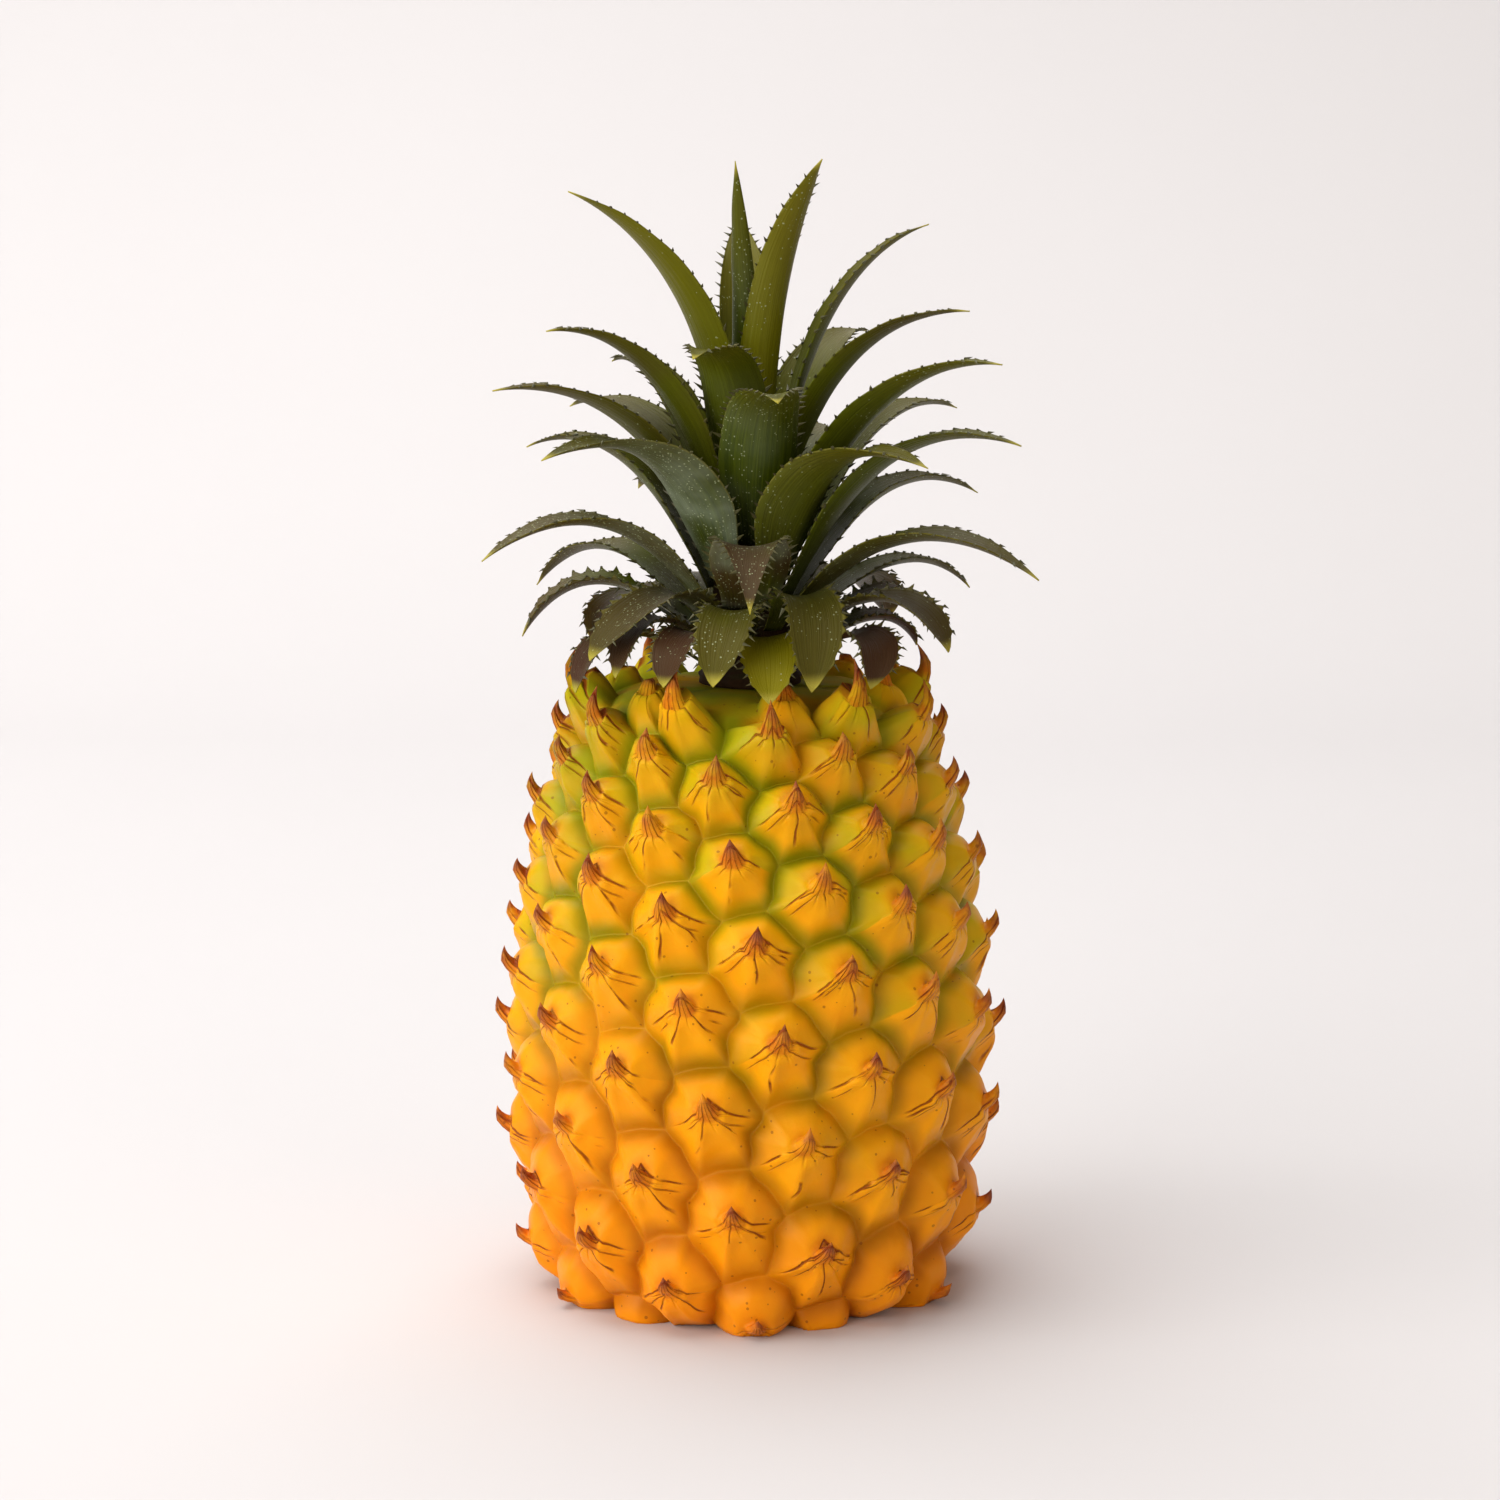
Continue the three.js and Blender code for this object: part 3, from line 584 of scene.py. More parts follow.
def claw_points(frame_at_eye, w, side, depth, lean, ends, hook, notch):
    place, across, up, out = frame_at_eye
    (lift0, rise0), (lift2, rise2) = ends
    lift1, rise1 = lift0 + hook[0], mix(rise0, rise2, hook[1])
    line_lift = (1 - w) ** 2 * lift0 + 2 * w * (1 - w) * lift1 + w ** 2 * lift2
    line_rise = (1 - w) ** 2 * rise0 + 2 * w * (1 - w) * rise1 + w ** 2 * rise2
    way_lift = (1 - w) * (lift1 - lift0) + w * (lift2 - lift1)
    way_rise = (1 - w) * (rise1 - rise0) + w * (rise2 - rise1)
    length = np.maximum(np.hypot(way_lift, way_rise), 1e-6)
    turned = smooth(w, 0, 0.4)
    face_lift, face_rise = mix(1, way_rise / length, turned), mix(0, -way_lift / length, turned)
    lift = line_lift + depth * face_lift
    rise = line_rise + depth * face_rise - notch * (1 - w) ** 2
    return place + across * (side + lean * w)[..., None] + up * lift[..., None] + out * rise[..., None]


def eye_patch(whorl, column, draw):
    (turn, way), ring = groove_ring(whorl, column)
    place, across, up, out, radius = skin(np.array(turn), np.array(way))
    size, lean = EYE_SIZE + EYE_GROWTH * draw(), (draw() - 0.5) * CLAW_LEAN
    seed = FOLD_STEP * ((whorl * FOLDS_DOWN + column * FOLDS_BESIDE) % FOLD_KINDS)
    crowded = way > CROWDED_ABOVE
    sharp = BLUNTEST if crowded else min(max(way / BLUNT_BELOW, BLUNTEST), 1)
    high = smooth(way, TOP_CLAWS_ABOVE, whorl_way(TWISTED_WHORL))
    tall = CROWDED_SIZE if crowded else 1 + TOP_CLAW_GROWTH * high
    grown = smooth(radius, BALD_RADIUS, DOMED_RADIUS) * size * tall
    away = ring - (turn, way)
    side, rise = away[:, 0] * radius, away[:, 1]
    over_root = rise - CLAW_ROOT_LIFT
    right, top = side / np.hypot(side, over_root), over_root / np.hypot(side, over_root)
    angle = np.arctan2(right, -top)

    root_side = CLAW_HALF_WIDTH * right
    root_depth = np.where(top > 0, CLAW_BACK, CLAW_FRONT) * top
    root_lift = CLAW_ROOT_LIFT - CLAW_SIDE_DROP * np.abs(right)
    root_rise = mix(CAP_RISE, SCALE_RISE, sharp) * grown
    notch = CLAW_NOTCH * sharp * np.where(top > 0, mix(0.5, 1, top), mix(0.5, 0, -top))

    s = DOME_RINGS[:, None]
    at_side = (1 - s) * root_side + s * side
    at_lift = (1 - s) * (root_lift + root_depth) + s * rise
    under = scale_edge(at_side) - at_lift
    below = smooth(under, -EDGE_BLEND, EDGE_BLEND)
    fade = smooth(1 - s, 0.04, 0.6)
    crest = 1 - np.abs(np.sin(FOLDS_AROUND * angle + seed))
    folds = FOLD * (crest - 0.9) * below * smooth(s, 0.05, 0.35) * smooth(1 - s, 0.02, 0.45)
    shade = LIP_SHADE * (1 - below) * np.exp(-(np.minimum(under, 0) / LIP_REACH) ** 2)
    height = eye_rise(top, s) * grown + (LIP * below * fade - shade * fade + folds) * sharp
    height = mix(root_rise - notch, height, smooth(s, 0, 0.3))
    base, _, _, away_out, _ = skin(turn + at_side / radius, way + at_lift)
    x, y, z = (base[..., axis] for axis in range(3))
    uneven = UNEVEN * np.sin(x * 0.7 + 2 * np.sin(z * 0.31)) * np.sin(y * 0.6 + z * 0.4)
    height = height + uneven * smooth(1 - s, 0, 0.3) * min(grown, 1)
    dome = base + away_out * height[..., None]

    w = CLAW_RINGS[:, None]
    tip = (CLAW_TIP_LIFT * size * tall, mix(root_rise + BLUNT_TIP_RISE, CLAW_TIP_RISE * size * tall, sharp))
    ends = ((CLAW_ROOT_LIFT, root_rise), tip)
    drop = (root_lift - CLAW_ROOT_LIFT) * (1 - w) ** 2
    claw = claw_points((place, across, up, out), w, root_side * (1 - w) ** 1.05, root_depth * (1 - w) + drop,
                       lean, ends, CLAW_HOOK, notch)
    point = place + across * lean + up * tip[0] + out * tip[1]

    points = np.concatenate([dome.reshape(-1, 3), claw.reshape(-1, 3), point[None]])
    around, flat = len(ring), np.ones(len(ring))
    near = 1 - np.clip(np.hypot(at_side, at_lift - CLAW_ROOT_LIFT) / NEAR_CLAW, 0, 1)
    claw_side = root_side * (1 - w)
    claw_lift = root_lift + root_depth * (1 - w) + 3 * w
    masks = np.stack([
        np.append(np.concatenate([(1 - s) * flat * DOME_SHARE, mix(DOME_SHARE, 1, w) * flat]), 1),
        np.append(np.concatenate([CLAW_SHARE * near ** 1.5, mix(CLAW_SHARE, 1, w) * flat]), 1),
        np.append(np.tile(angle / math.pi, len(DOME_RINGS) + len(CLAW_RINGS)), 0),
        np.append(np.concatenate([at_side, claw_side]), 0),
        np.append(np.concatenate([at_lift, claw_lift]), CLAW_TIP_LIFT),
        np.full(len(points), seed),
        np.full(len(points), sharp)])
    return points, masks, around


def ring_faces(start, rings, around, tip=True):
    faces = []
    for i in range(rings - 1):
        low, high = start + i * around, start + (i + 1) * around
        faces += [(low + k, low + (k + 1) % around, high + (k + 1) % around, high + k) for k in range(around)]
    if tip:
        last = start + (rings - 1) * around
        faces += [(last + k, last + (k + 1) % around, last + around) for k in range(around)]
    return faces


# %% [markdown]
# All patches share their groove points, so merging doubles closes the skin. The few bald cells
# past the first and last whorl close the ends, and the foot is pressed flat at the table's level.

# %% The whole fruit
LEHMER_FACTOR, LEHMER_SIZE = 16807, 2 ** 31 - 1  # an old and simple rule for random numbers
EYES_SEED = 7
MERGE_GRID = 500  # places in a millimetre, so points nearer than 0.002 mm are merged


def seeded(seed):
    state = [seed]

    def draw():
        state[0] = state[0] * LEHMER_FACTOR % LEHMER_SIZE
        return state[0] / LEHMER_SIZE
    return draw


def bald_patch(whorl, column):
    centre, ring = groove_ring(whorl, column)
    spots = np.concatenate([ring, mix(ring, centre, 0.5), centre[None]])
    points = skin(spots[:, 0], spots[:, 1])[0]
    return points, np.zeros((len(MASKS), len(points))), len(ring)


def close_poles(points, faces):
    edges = {}
    for face in faces:
        for a, b in zip(face, face[1:] + face[:1]):
            if (b, a) in edges:
                del edges[(b, a)]
            else:
                edges[(a, b)] = True
    top, bottom = len(points), len(points) + 1
    fans = [(b, a, top if points[a][2] > MID_HEIGHT else bottom) for a, b in edges]
    return np.concatenate([points, [[0, 0, FRUIT_TOP], [0, 0, 0]]]), faces + fans


def merge_doubles(points, masks, faces):
    keys = np.round(points * MERGE_GRID).astype(np.int64)
    _, first, index = np.unique(keys, axis=0, return_index=True, return_inverse=True)
    index = index.ravel()
    merged = [tuple(index[list(face)].tolist()) for face in faces]
    clean = []
    for face in merged:
        ring = tuple(v for k, v in enumerate(face) if v != face[k - 1])
        if len(set(ring)) >= 3:
            clean.append(ring)
    return points[first], masks[:, first], clean


def build_fruit():
    draw = seeded(EYES_SEED)
    all_points, all_masks, faces, start = [], [], [], 0
    for whorl in range(TOP_WHORL - BARE_ABOVE, BOTTOM_WHORL + BARE_BELOW + 1):
        for column in range(EYES_IN_WHORL):
            bald = whorl < TOP_WHORL or whorl > BOTTOM_WHORL
            points, masks, around = bald_patch(whorl, column) if bald else eye_patch(whorl, column, draw)
            rings = (len(points) - 1) // around
            faces += ring_faces(start, rings, around)
            all_points.append(points)
            all_masks.append(masks)
            start += len(points)
    points = np.concatenate(all_points)
    points[:, 2] = np.maximum(points[:, 2], 0)
    points, masks, faces = merge_doubles(points, np.concatenate(all_masks, axis=1), faces)
    points, faces = close_poles(points, faces)
    masks = np.concatenate([masks, np.zeros((len(MASKS), 2))], axis=1)
    return new_piece("fruit_skin", points, faces, dict(zip(MASKS, masks)), SKIN)


fruit = build_fruit()
dress(fruit, "skin", "fruit")
print(fruit.name, triangles_of(fruit), "triangles")

# %% [markdown]
# ## The crown's stem
# The stem is a turned form, so its profile is spun about the axis. Leaf scars ring a real stem:
# here they are shallow steps that follow its height.

# %% Stem
STEM_PROFILE = np.array([
    [0, 0.3], [13.5, 0.3], [14, 2.5], [12.6, 4], [11.5, 8], [10.4, 20], [8.6, 35], [6.6, 50],
    [4.4, 64], [2.2, 70], [0, 70.5]])  # radius, height above the fruit
STEM_ROUND = 48
STEM_LEVELS = 120
SCAR_RISE, BARK_INSET = 0.22, 0.25  # mm
SCARS_UP, SCAR_SWAY = 2.1, 3  # radians for each mm of height, and how far a ring strays on its way round


def build_stem():
    share = np.linspace(0, 1, STEM_LEVELS) * (len(STEM_PROFILE) - 1)
    radius = np.interp(share, np.arange(len(STEM_PROFILE)), STEM_PROFILE[:, 0])
    height = np.interp(share, np.arange(len(STEM_PROFILE)), STEM_PROFILE[:, 1]) + FRUIT_TOP
    turn = np.linspace(0, 2 * math.pi, STEM_ROUND, endpoint=False)
    scars = SCAR_RISE * np.sin(height[1:-1, None] * SCARS_UP + SCAR_SWAY * np.sin(turn * 2)) - BARK_INSET
    rings = polar(np.maximum(radius[1:-1, None] + scars, 0.2), turn[None, :], height[1:-1, None])
    points = np.concatenate([rings.reshape(-1, 3), [[0, 0, height[-1]], [0, 0, height[0]]]])
    faces = ring_faces(0, STEM_LEVELS - 2, STEM_ROUND)
    foot = len(points) - 1
    faces += [(foot, (k + 1) % STEM_ROUND, k) for k in range(STEM_ROUND)]
    return new_piece("stem_bark", points, faces, {}, STEM)


stem = build_stem()
dress(stem, "stem", "crown_stem")
print(stem.name, triangles_of(stem), "triangles")

# %% [markdown]
# ## The leaves
# Each leaf is a thin channelled blade that leaves the stem steeply and then bends outwards. Its
# middle line is a curve of three points: root, bow and tip. Across it the blade follows a
# circle about the crown's axis, so leaves on neighbouring curves nest and never cross. The values
# below are the same as the solids': they were chosen leaf by leaf against the real crown.

# %% The leaves' values
# name, turn (degrees), root height, bow (radius, height), tip (radius, height), width, swing, taper,
# finish (tone, brown, bloom, golden)
TAPER, BROAD_TAPER, EARLY_TAPER = 1.8, 8, 0.8
LEAVES = [
    ("spear", -25, 232, (5, 262), (9, 298.5), 10, 0, TAPER, (0.45, 0, 0.6, 0.05)),
    ("top_right_broad", 50, 225.5, (7.5, 274), (24, 299), 20, 0, TAPER, (0.75, 0.15, 0.25, 0.55)),
    ("top_left", -62, 219, (14, 276), (52, 291), 20, 0, TAPER, (0.6, 0.1, 0.2, 0.4)),
    ("top_right", 97, 214, (18, 273), (47, 282), 15, 0, TAPER, (0.45, 0.25, 0.2, 0.2)),
    ("top_back", -176, 217, (15, 268), (44, 282), 18, 0, TAPER, (0.5, 0.2, 0.2, 0.3)),
    ("high_front", -18, 213, (18, 259), (46, 250), 21, 0, TAPER, (0.35, 0.1, 0.35, 0.15)),
    ("high_left", -63, 208, (28, 259), (58, 256), 18, 0, TAPER, (0.5, 0.35, 0.25, 0.2)),
    ("high_right", 66, 208, (24, 261), (61, 261), 18, 0, TAPER, (0.5, 0.45, 0.2, 0.2)),
    ("high_back_right", 146, 206, (28, 257), (57, 252), 19, 0, TAPER, (0.4, 0.3, 0.3, 0.2)),
    ("high_back_left", -128, 203, (30, 252), (47, 245), 17, 0, TAPER, (0.4, 0.4, 0.3, 0.1)),
    ("mid_front", 8, 200, (24, 248), (50, 239.5), 24, 0, TAPER, (0.15, 0.05, 0.55, 0.05)),
    ("mid_right", 62, 198, (38, 251), (72, 248), 23, 0, TAPER, (0.3, 0.1, 0.3, 0.15)),
    ("mid_left", -67, 197, (34, 246), (71, 241), 20, 0, TAPER, (0.45, 0.5, 0.25, 0.2)),
    ("mid_back_right", 122, 192, (38, 242), (66, 232), 20, 0, TAPER, (0.4, 0.3, 0.3, 0.15)),
    ("mid_back", 178, 200, (32, 248), (64, 238), 22, 0, TAPER, (0.4, 0.3, 0.3, 0.15)),
    ("mid_back_left", -130, 194, (34, 243), (64, 232), 20, 0, TAPER, (0.4, 0.4, 0.3, 0.1)),
    ("wide_left", -44, 190, (30, 238), (70, 225), 26, -4, TAPER, (0.2, 0.25, 1.0, 0)),
    ("wide_right", 38, 190, (27, 235), (64, 223), 25, 6, TAPER, (0.3, 0.2, 0.35, 0.2)),
    ("wide_far_right", 72, 186, (37, 238), (73, 226.5), 21, 0, TAPER, (0.3, 0.2, 0.3, 0.1)),
    ("wide_far_left", -100, 187, (33, 236), (60, 223.5), 18, 0, TAPER, (0.4, 0.4, 0.4, 0.1)),
    ("wide_back", 156, 190, (36, 236), (68, 222), 23, 0, TAPER, (0.4, 0.3, 0.4, 0.1)),
    ("wide_back_right", 112, 183, (38, 226), (66, 210), 18, 0, TAPER, (0.4, 0.4, 0.4, 0.1)),
    ("wide_back_left", -152, 184, (38, 226), (66, 208), 21, 0, TAPER, (0.4, 0.4, 0.5, 0.1)),
    ("low_left", -68, 181, (40, 221), (74, 197.5), 21, 0, TAPER, (0.35, 0.55, 0.75, 0.1)),
    ("low_right", 65, 180, (46, 217), (80, 193), 22, 2, TAPER, (0.3, 0.45, 0.4, 0.1)),
    ("low_front", 0, 183, (32, 218), (52, 187), 33, 0, EARLY_TAPER, (0.2, 0.9, 0.9, 0.1)),
    ("low_far_right", 108, 177, (45, 204), (62, 185), 14, 0, TAPER, (0.4, 0.5, 0.3, 0.1)),
    ("low_back", 172, 179, (44, 214), (70, 190), 21, 0, TAPER, (0.4, 0.5, 0.5, 0.1)),
    ("low_back_left", -120, 177, (45, 210), (67, 184), 18, 0, TAPER, (0.4, 0.5, 0.5, 0.1)),
    ("hanging_front_left", -42, 177.5, (31, 200), (52, 172.5), 12, -10, BROAD_TAPER, (0.3, 0.6, 0.7, 0.1)),
    ("hanging_front_right", 30.5, 177.5, (34, 203), (49, 166.5), 11.5, -12, BROAD_TAPER,
     (0.35, 0.35, 0.4, 0.1)),
    ("hanging_left", -90, 174, (43, 203), (60, 175), 12, 4, BROAD_TAPER, (0.4, 0.7, 0.5, 0.1)),
    ("hanging_right", 61.5, 174, (45, 199), (58, 174), 12, 0, BROAD_TAPER, (0.4, 0.6, 0.3, 0.1)),
    ("hanging_far_right", 100, 172, (42, 196), (47, 176), 11, 0, BROAD_TAPER, (0.4, 0.8, 0.3, 0)),
    ("hanging_back_right", 138, 173.5, (43, 200), (57, 174), 14, 0, BROAD_TAPER, (0.4, 0.7, 0.4, 0.1)),
    ("hanging_back", -160, 173, (43, 200), (57, 174), 14, 0, BROAD_TAPER, (0.4, 0.7, 0.4, 0.1)),
    ("hanging_back_left", -124, 170.5, (41, 196), (52, 170), 12, 0, BROAD_TAPER, (0.4, 0.8, 0.4, 0)),
    ("skirt_left", -51, 172.5, (38, 192), (47, 168), 7.5, 4, BROAD_TAPER, (0.3, 0.9, 0.3, 0)),
    ("skirt_front_left", -8, 172.5, (33, 199), (49, 168), 10.5, -3, BROAD_TAPER, (0.4, 0.35, 0.55, 0.1)),
    ("skirt_front", 8, 169.5, (30, 188), (47.5, 163.5), 11, -2, BROAD_TAPER, (1, 0.1, 0.15, 1)),
    ("skirt_far_left", -68, 168, (42, 188), (51, 163), 10, 6, BROAD_TAPER, (0.3, 1, 0.2, 0)),
    ("skirt_near_left", -29.5, 168, (36, 190.5), (49, 167.3), 8.5, 3, BROAD_TAPER, (0.3, 0.95, 0.3, 0)),
    ("skirt_near_right", 54, 168.5, (45, 188), (51, 166.5), 11, -17, BROAD_TAPER, (0.3, 0.95, 0.2, 0)),
    ("skirt_right", 100, 168.5, (37, 187), (45, 171), 11, 0, BROAD_TAPER, (0.3, 1, 0.2, 0)),
    ("skirt_back", 176, 168.5, (39, 188), (51, 166), 13, 0, BROAD_TAPER, (0.3, 1, 0.2, 0)),
]
print("leaves", len(LEAVES))

# %% [markdown]
# The blade is thickest along its middle and thin at its margins. Its point runs out long and fine.
# Spines could be modelled one by one, but there are over a thousand, all alike, so the mesh only
# marks the margin points that bear a spine, and which way each one leans.

# %% One blade
GAP, BLADE, CHANNEL = 0.3, 0.8, 0.14
ROOT_WIDTH, TIGHTEST_ARCH = 0.52, 7
TAPER_START, TAPER_SWELL, WIDEST_SHARE = 0.8, 0.5, 0.86  # a leaf swells a little before it narrows
MARGIN_BLADE, POINT_HALF = 0.26, 0.12
STATIONS, COLUMNS = 44, 12
SPINE_EVERY, SPINE_FROM, SPINE_TO = 2, 4, 41
SPINE_SIZES, TIP_SPINE = (0.75, 1.2), 0.65  # shares of the full length, and how spines shrink to the tip
TOOTH, TOOTH_LEAN, TEETH_EVERY = 2.0, 0.7, 3  # saw teeth on the short broad leaves
TOOTH_SIZES = (0.6, 1.3)  # shares of a whole tooth
RIPPLE, RIPPLE_TURNS = 0.1, 31  # mm, and radians along a leaf
TIPWARDS, OUTWARDS, RAGGED = 0.6, 0.9, 0.12  # which way a spine leans, and by how much that varies
TIP_THICK = 0.45  # share of the thickness that is left at the tip
ACROSS = np.sin(np.linspace(-1, 1, COLUMNS + 1) * math.pi / 2)


def stem_radius(height):
    return np.interp(height - FRUIT_TOP, STEM_PROFILE[1:, 1], STEM_PROFILE[1:, 0])


def half_width(width, taper, along):
    share = (TAPER_START + TAPER_SWELL * along) * (1 - along ** taper) / WIDEST_SHARE
    share = share * mix(ROOT_WIDTH, 1, smooth(along, 0, 0.3))
    return np.maximum(width * share / 2, mix(0.5, POINT_HALF, smooth(along, 0.9, 1)))


def blade(leaf, along, share, lift_off):
    turn, root_height, bow, tip, width, swing, taper = leaf
    root = np.array([stem_radius(root_height) + GAP + BLADE, root_height])
    bow, tip = np.array(bow), np.array(tip)
    u = along[..., None]
    curve = (1 - u) ** 2 * root + 2 * u * (1 - u) * bow + u ** 2 * tip
    way = (1 - u) * (bow - root) + u * (tip - bow)
    way /= np.linalg.norm(way, axis=-1, keepdims=True)
    half = half_width(width, taper, along)
    arch = np.maximum(curve[..., 0], TIGHTEST_ARCH)
    depth = CHANNEL * 2 * half * smooth(along, 0.1, 0.5)
    lift = depth * share ** 2 + lift_off
    middle = np.radians(turn + swing * along ** 2)
    centre = polar(curve[..., 0] - arch, middle, curve[..., 1])
    outwards = polar(1.0, middle + share * half / arch, 0.0)
    raised = arch - lift * way[..., 1]
    return centre + outwards * raised[..., None] + np.array([0, 0, 1]) * (lift * way[..., 0])[..., None]


# %% [markdown]
# The upper and the lower face share one grid of stations and columns, and strips along the margins
# and at both ends close them into one skin.

# %% One leaf's mesh
def leaf_mesh(name, leaf, finish, seed):
    rng = np.random.default_rng(seed)
    along, share = np.meshgrid(np.linspace(0, 1, STATIONS + 1), ACROSS, indexing="ij")
    width, taper = leaf[4], leaf[6]
    if taper == BROAD_TAPER:
        toothed = (np.arange(STATIONS + 1) % TEETH_EVERY == 1)[:, None]
        odd = toothed * np.abs(share) ** 12 * (1 - along ** 4) * smooth(along, 0.1, 0.25)
        uneven = rng.uniform(*TOOTH_SIZES, (STATIONS + 1, 1))
        share = share * (1 + odd * TOOTH * uneven / half_width(width, taper, along))
        along = np.minimum(along + odd * TOOTH_LEAN / STATIONS, 1)
    thick = mix(MARGIN_BLADE, BLADE, (1 - np.abs(share) ** 2.5)) * mix(1, TIP_THICK, smooth(along, 0.8, 1))
    wave = np.sin(along * RIPPLE_TURNS + rng.uniform(0, 6))
    ripple = RIPPLE * wave * np.abs(share) ** 3 * smooth(along, 0.2, 0.5)
    upper = blade(leaf, along, share, thick / 2 + ripple)
    lower = blade(leaf, along, share, -thick / 2 + ripple)
    points = np.concatenate([upper.reshape(-1, 3), lower.reshape(-1, 3)])
    wide, total = COLUMNS + 1, (STATIONS + 1) * (COLUMNS + 1)

    def at(i, k, under=0):
        return i * wide + k + under * total

    def both(values):
        return np.concatenate([values.ravel(), values.ravel()])

    faces = []
    for i in range(STATIONS):
        for k in range(COLUMNS):
            faces.append((at(i, k), at(i + 1, k), at(i + 1, k + 1), at(i, k + 1)))
            faces.append((at(i, k, 1), at(i, k + 1, 1), at(i + 1, k + 1, 1), at(i + 1, k, 1)))
        faces.append((at(i, 0), at(i, 0, 1), at(i + 1, 0, 1), at(i + 1, 0)))
        faces.append((at(i, COLUMNS), at(i + 1, COLUMNS), at(i + 1, COLUMNS, 1), at(i, COLUMNS, 1)))
    for k in range(COLUMNS):
        faces.append((at(0, k), at(0, k + 1), at(0, k + 1, 1), at(0, k, 1)))
        faces.append((at(STATIONS, k), at(STATIONS, k, 1), at(STATIONS, k + 1, 1), at(STATIONS, k + 1)))

    thorn = np.zeros(2 * total)
    lean = np.zeros((2 * total, 3))
    outwards = upper[:, -1] - upper[:, 0]
    outwards /= np.linalg.norm(outwards, axis=-1, keepdims=True)
    for i in range(SPINE_FROM, SPINE_TO, SPINE_EVERY):
        forward = upper[i + 1] - upper[i]
        for k, sign in ((0, -1), (COLUMNS, 1)):
            tipwards = forward[k] / np.linalg.norm(forward[k])
            thorn[at(i, k)] = mix(1, TIP_SPINE, i / STATIONS) * rng.uniform(*SPINE_SIZES)
            lean[at(i, k)] = TIPWARDS * tipwards + sign * OUTWARDS * outwards[i] + rng.normal(0, RAGGED, 3)
    tone, brown, bloom, golden = finish
    every = np.ones(2 * total)
    masks = {"along": both(along), "across": both(share), "thorn": thorn, "tone": every * tone,
             "brown": every * brown, "bloom": every * bloom, "golden": every * golden}
    piece = new_piece(name, points, faces, masks, LEAF)
    layer = piece.data.attributes.new("lean", "FLOAT_VECTOR", "POINT")
    layer.data.foreach_set("vector", lean.astype(np.float32).ravel())
    return piece


# %% [markdown]
# ## The spines
# One Geometry Nodes tree sets a small cone on every marked point, turns it to the way that it
# leans, and makes it real. The length and the thickness are inputs of the tree.

# %% Spines tree
SPINE_LENGTH, SPINE_RADIUS, SPINE_SIDES = 2.8, 0.55, 5
SPINE_LOW, SPINE_HIGH = 0.8, 1.15  # the tree's own random share of a spine's size


def build_spines_tree():
    tree = bpy.data.node_groups.new("spines", "GeometryNodeTree")
    tree.interface.new_socket("Geometry", in_out="OUTPUT", socket_type="NodeSocketGeometry")
    tree.interface.new_socket("Geometry", in_out="INPUT", socket_type="NodeSocketGeometry")
    for title in ("Spine Length", "Spine Radius", "Bend Seed"):
        tree.interface.new_socket(title, in_out="INPUT", socket_type="NodeSocketFloat")
    given, result = tree.nodes.new("NodeGroupInput"), tree.nodes.new("NodeGroupOutput")

    def named(title, kind):
        node = tree.nodes.new("GeometryNodeInputNamedAttribute")
        node.data_type = kind
        node.inputs["Name"].default_value = title
        return node.outputs["Attribute"]

    cone = tree.nodes.new("GeometryNodeMeshCone")
    cone.fill_type = "NGON"
    cone.inputs["Vertices"].default_value = SPINE_SIDES
    put(tree, cone.inputs["Radius Bottom"], given.outputs["Spine Radius"])
    put(tree, cone.inputs["Depth"], given.outputs["Spine Length"])
    marked = tree.nodes.new("GeometryNodeStoreNamedAttribute")
    marked.domain = "FACE"
    marked.inputs["Name"].default_value = "is_spine"
    put(tree, marked.inputs["Geometry"], cone.outputs["Mesh"])
    put(tree, marked.inputs["Value"], 1.0)
    turned = tree.nodes.new("FunctionNodeAlignRotationToVector")
    turned.axis = "Z"
    put(tree, turned.inputs["Vector"], named("lean", "FLOAT_VECTOR"))
    spread = tree.nodes.new("GeometryNodeInstanceOnPoints")
    put(tree, spread.inputs["Points"], given.outputs["Geometry"])
    put(tree, spread.inputs["Selection"], math_node(tree, "GREATER_THAN", named("thorn", "FLOAT"), 0.01))
    put(tree, spread.inputs["Instance"], marked.outputs["Geometry"])
    put(tree, spread.inputs["Rotation"], turned.outputs["Rotation"])
    uneven = tree.nodes.new("FunctionNodeRandomValue")
    put(tree, uneven.inputs[2], SPINE_LOW)
    put(tree, uneven.inputs[3], SPINE_HIGH)
    put(tree, uneven.inputs["Seed"], given.outputs["Bend Seed"])
    put(tree, spread.inputs["Scale"], times(tree, uneven.outputs[1], named("thorn", "FLOAT")))
    together = tree.nodes.new("GeometryNodeJoinGeometry")
    tree.links.new(spread.outputs["Instances"], together.inputs[0])
    tree.links.new(given.outputs["Geometry"], together.inputs[0])
    real = tree.nodes.new("GeometryNodeRealizeInstances")
    tree.links.new(together.outputs[0], real.inputs["Geometry"])
    paint = tree.nodes.new("GeometryNodeSetMaterial")
    paint.inputs["Material"].default_value = SPINE
    put(tree, paint.inputs["Geometry"], real.outputs["Geometry"])
    put(tree, paint.inputs["Selection"], math_node(tree, "GREATER_THAN", named("is_spine", "FLOAT"), 0.5))
    tree.links.new(paint.outputs["Geometry"], result.inputs[0])
    return tree


SPINES = build_spines_tree()
print("tree", SPINES.name)


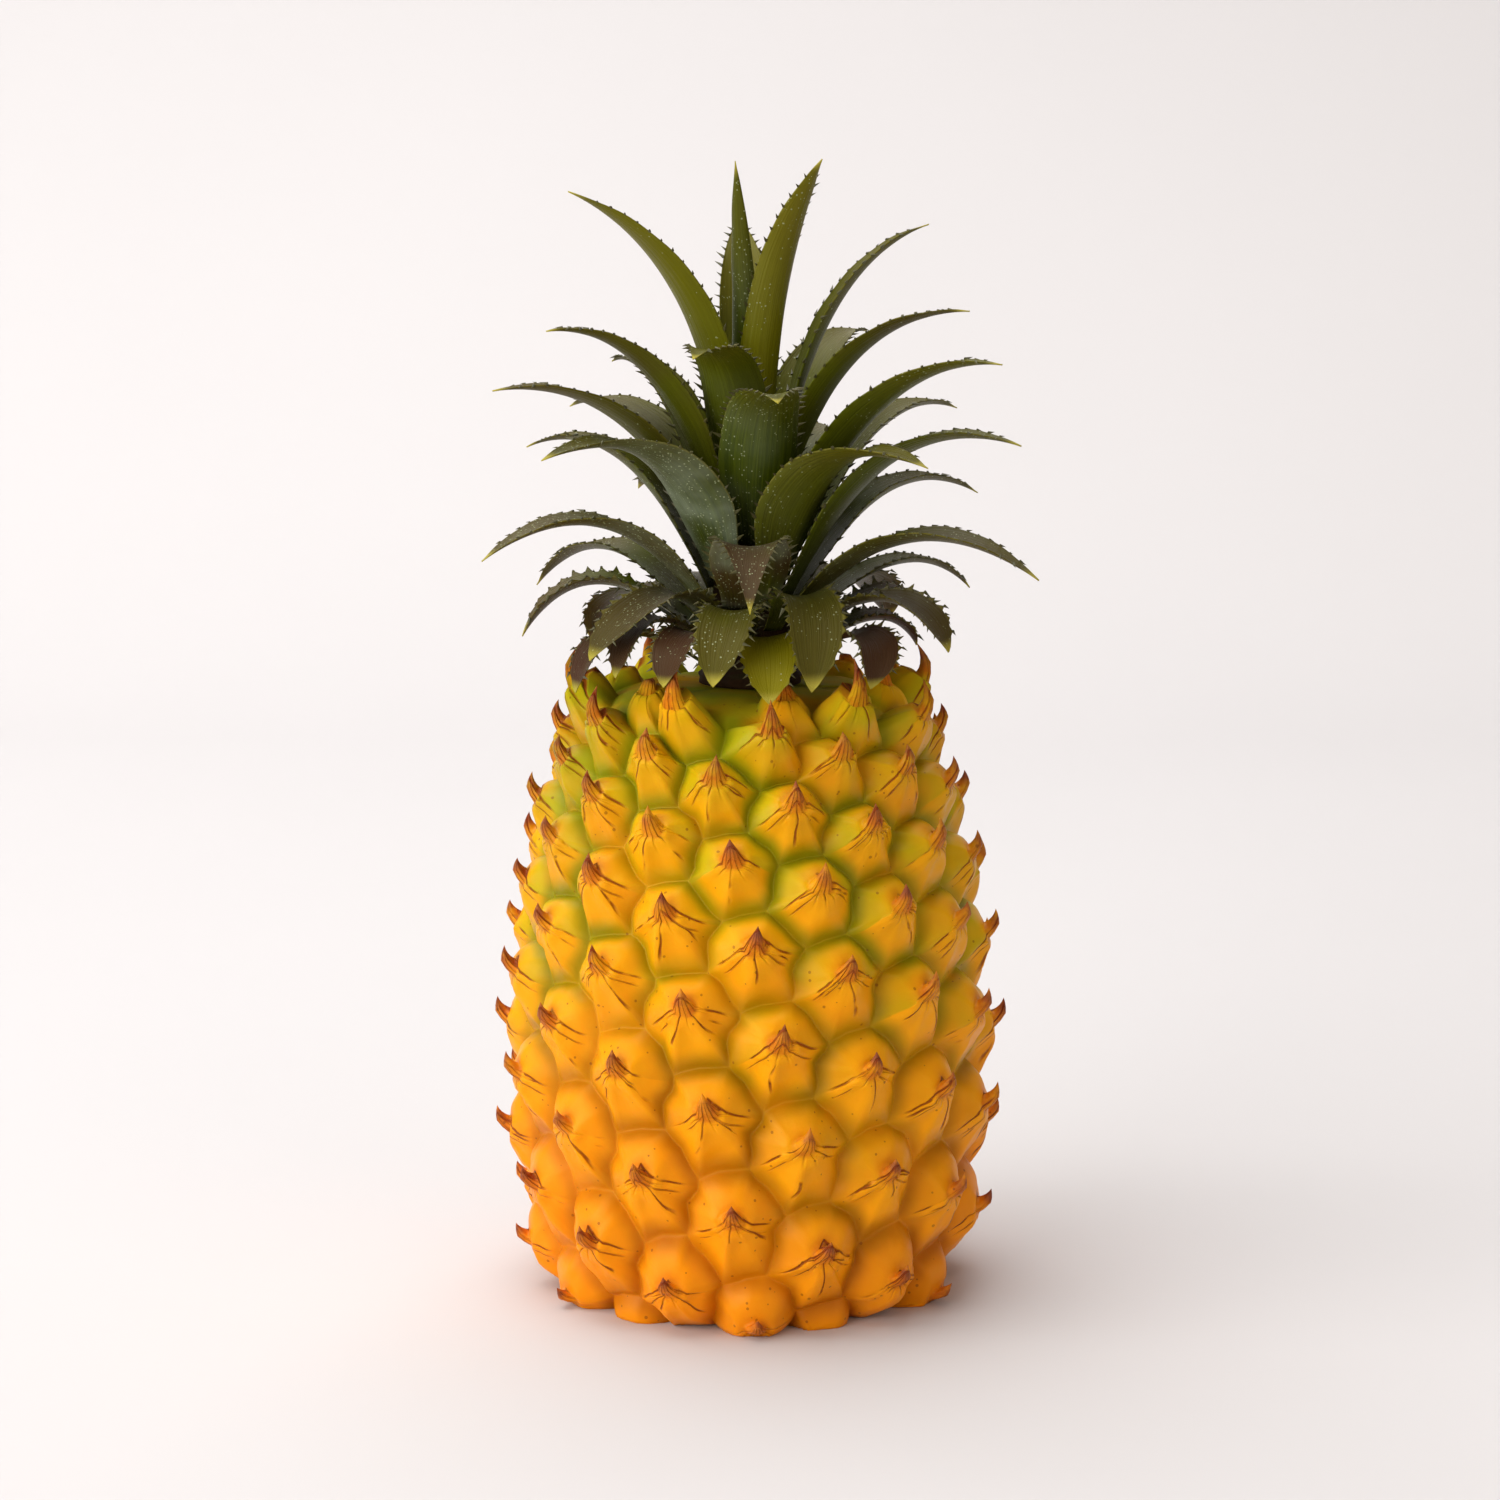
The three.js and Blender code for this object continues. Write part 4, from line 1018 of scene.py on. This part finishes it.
# %% Give a leaf its spines
def add_spines(piece, seed):
    modifier = piece.modifiers.new("spines", "NODES")
    modifier.node_group = SPINES
    sockets = {item.name: item.identifier for item in SPINES.interface.items_tree if item.in_out == "INPUT"}
    modifier[sockets["Spine Length"]] = SPINE_LENGTH * MM
    modifier[sockets["Spine Radius"]] = SPINE_RADIUS * MM
    modifier[sockets["Bend Seed"]] = float(seed)
    evaluated = piece.evaluated_get(bpy.context.evaluated_depsgraph_get())
    plain = bpy.data.meshes.new_from_object(evaluated)
    plain.name = piece.name
    piece.modifiers.clear()
    old, piece.data = piece.data, plain
    bpy.data.meshes.remove(old)


# %% All the leaves
leaf_triangles = 0
for seed, (name, *leaf, finish) in enumerate(LEAVES):
    piece = leaf_mesh("blade_" + name, leaf, finish, seed)
    if name != "spear":  # the youngest leaf is still smooth
        add_spines(piece, seed)
    dress(piece, "leaf", "leaf_" + name)
    leaf_triangles += triangles_of(piece)
print("leaves", len(LEAVES), leaf_triangles, "triangles")

# %% [markdown]
# ## The studio
# A pale floor runs up into a pale backdrop in one curve, so that no horizon shows. A large soft
# light stands at the left front, another hangs above and behind, a weak warm one fills the right,
# and the world gives the rest.

# %% Floor and backdrop
FLOOR_FRONT, FLOOR_BACK, FLOOR_HALF, SWEEP_RADIUS, WALL_TOP = -2500, 900, 3000, 600, 2600
SWEEP_STEPS = 24


def build_studio():
    material, tree, surface = new_material("studio_paper")
    grain = noise_node(tree, places(tree), 3.0, 2.0)
    put(tree, surface.inputs["Base Color"], mix_node(tree, grain, rgb("#c7c4c4"), rgb("#cac7c7")))
    put(tree, surface.inputs["Roughness"], ramp_node(tree, grain, 0, 1, 0.85, 0.95))
    surface.inputs["Specular IOR Level"].default_value = 0.1
    profile = [(FLOOR_FRONT, 0), (0, 0)]
    for i in range(SWEEP_STEPS + 1):
        angle = math.pi / 2 * i / SWEEP_STEPS
        profile.append((FLOOR_BACK + SWEEP_RADIUS * math.sin(angle), SWEEP_RADIUS * (1 - math.cos(angle))))
    profile.append((FLOOR_BACK + SWEEP_RADIUS, WALL_TOP))
    points = [(x, y, z) for y, z in profile for x in (-FLOOR_HALF, FLOOR_HALF)]
    faces = [(2 * i, 2 * i + 1, 2 * i + 3, 2 * i + 2) for i in range(len(profile) - 1)]
    return new_piece("studio_sweep", points, faces, {}, material)


sweep = build_studio()
print(sweep.name, len(sweep.data.polygons), "faces")


# %% Lights
def area_light(name, place, size, power, aim=(0, 0, 0.13), colour=(1, 1, 1)):
    light = bpy.data.lights.new(name, "AREA")
    light.shape = "RECTANGLE"
    light.size, light.size_y = size
    light.energy = power
    light.color = colour
    lamp = bpy.data.objects.new(name, light)
    bpy.context.collection.objects.link(lamp)
    lamp.location = place
    away = [a - b for a, b in zip(place, aim)]
    lamp.rotation_euler = mathutils.Vector(away).to_track_quat("Z", "Y").to_euler()
    return lamp


KEY = area_light("key_light", (-1.5, -1.1, 0.65), (2.4, 1.6), 49, colour=(1, 0.99, 0.98))
TOP = area_light("top_light", (-0.4, 0.5, 2.0), (2.4, 2.0), 60, aim=(0, 0.4, 0))
FILL = area_light("fill_light", (1.6, -1.6, 0.8), (1.8, 1.8), 12, colour=(1, 0.84, 0.7))

world = bpy.data.worlds.new("soft_room")
world.use_nodes = True
world.node_tree.nodes["Background"].inputs["Color"].default_value = (1, 0.95, 0.9, 1)
world.node_tree.nodes["Background"].inputs["Strength"].default_value = 0.24
bpy.context.scene.world = world
bpy.context.scene.view_settings.view_transform = "Standard"
print("lights", KEY.name, FILL.name, TOP.name)

# %% [markdown]
# ## The camera
# The camera looks down on the fruit by nine and a half degrees from a metre away, with a long lens.

# %% Camera
CAMERA_DOWN, CAMERA_AWAY, CAMERA_AIM, LENS, SENSOR = math.radians(9.5), 1.0, 0.144, 90.48, 36
camera_data = bpy.data.cameras.new("camera")
camera_data.lens = LENS
camera_data.sensor_width = SENSOR
camera = bpy.data.objects.new("camera", camera_data)
bpy.context.collection.objects.link(camera)
camera.location = (0, -CAMERA_AWAY * math.cos(CAMERA_DOWN), CAMERA_AIM + CAMERA_AWAY * math.sin(CAMERA_DOWN))
camera.rotation_euler = (math.pi / 2 - CAMERA_DOWN, 0, 0)
bpy.context.scene.camera = camera
print("camera", tuple(round(v, 3) for v in camera.location))
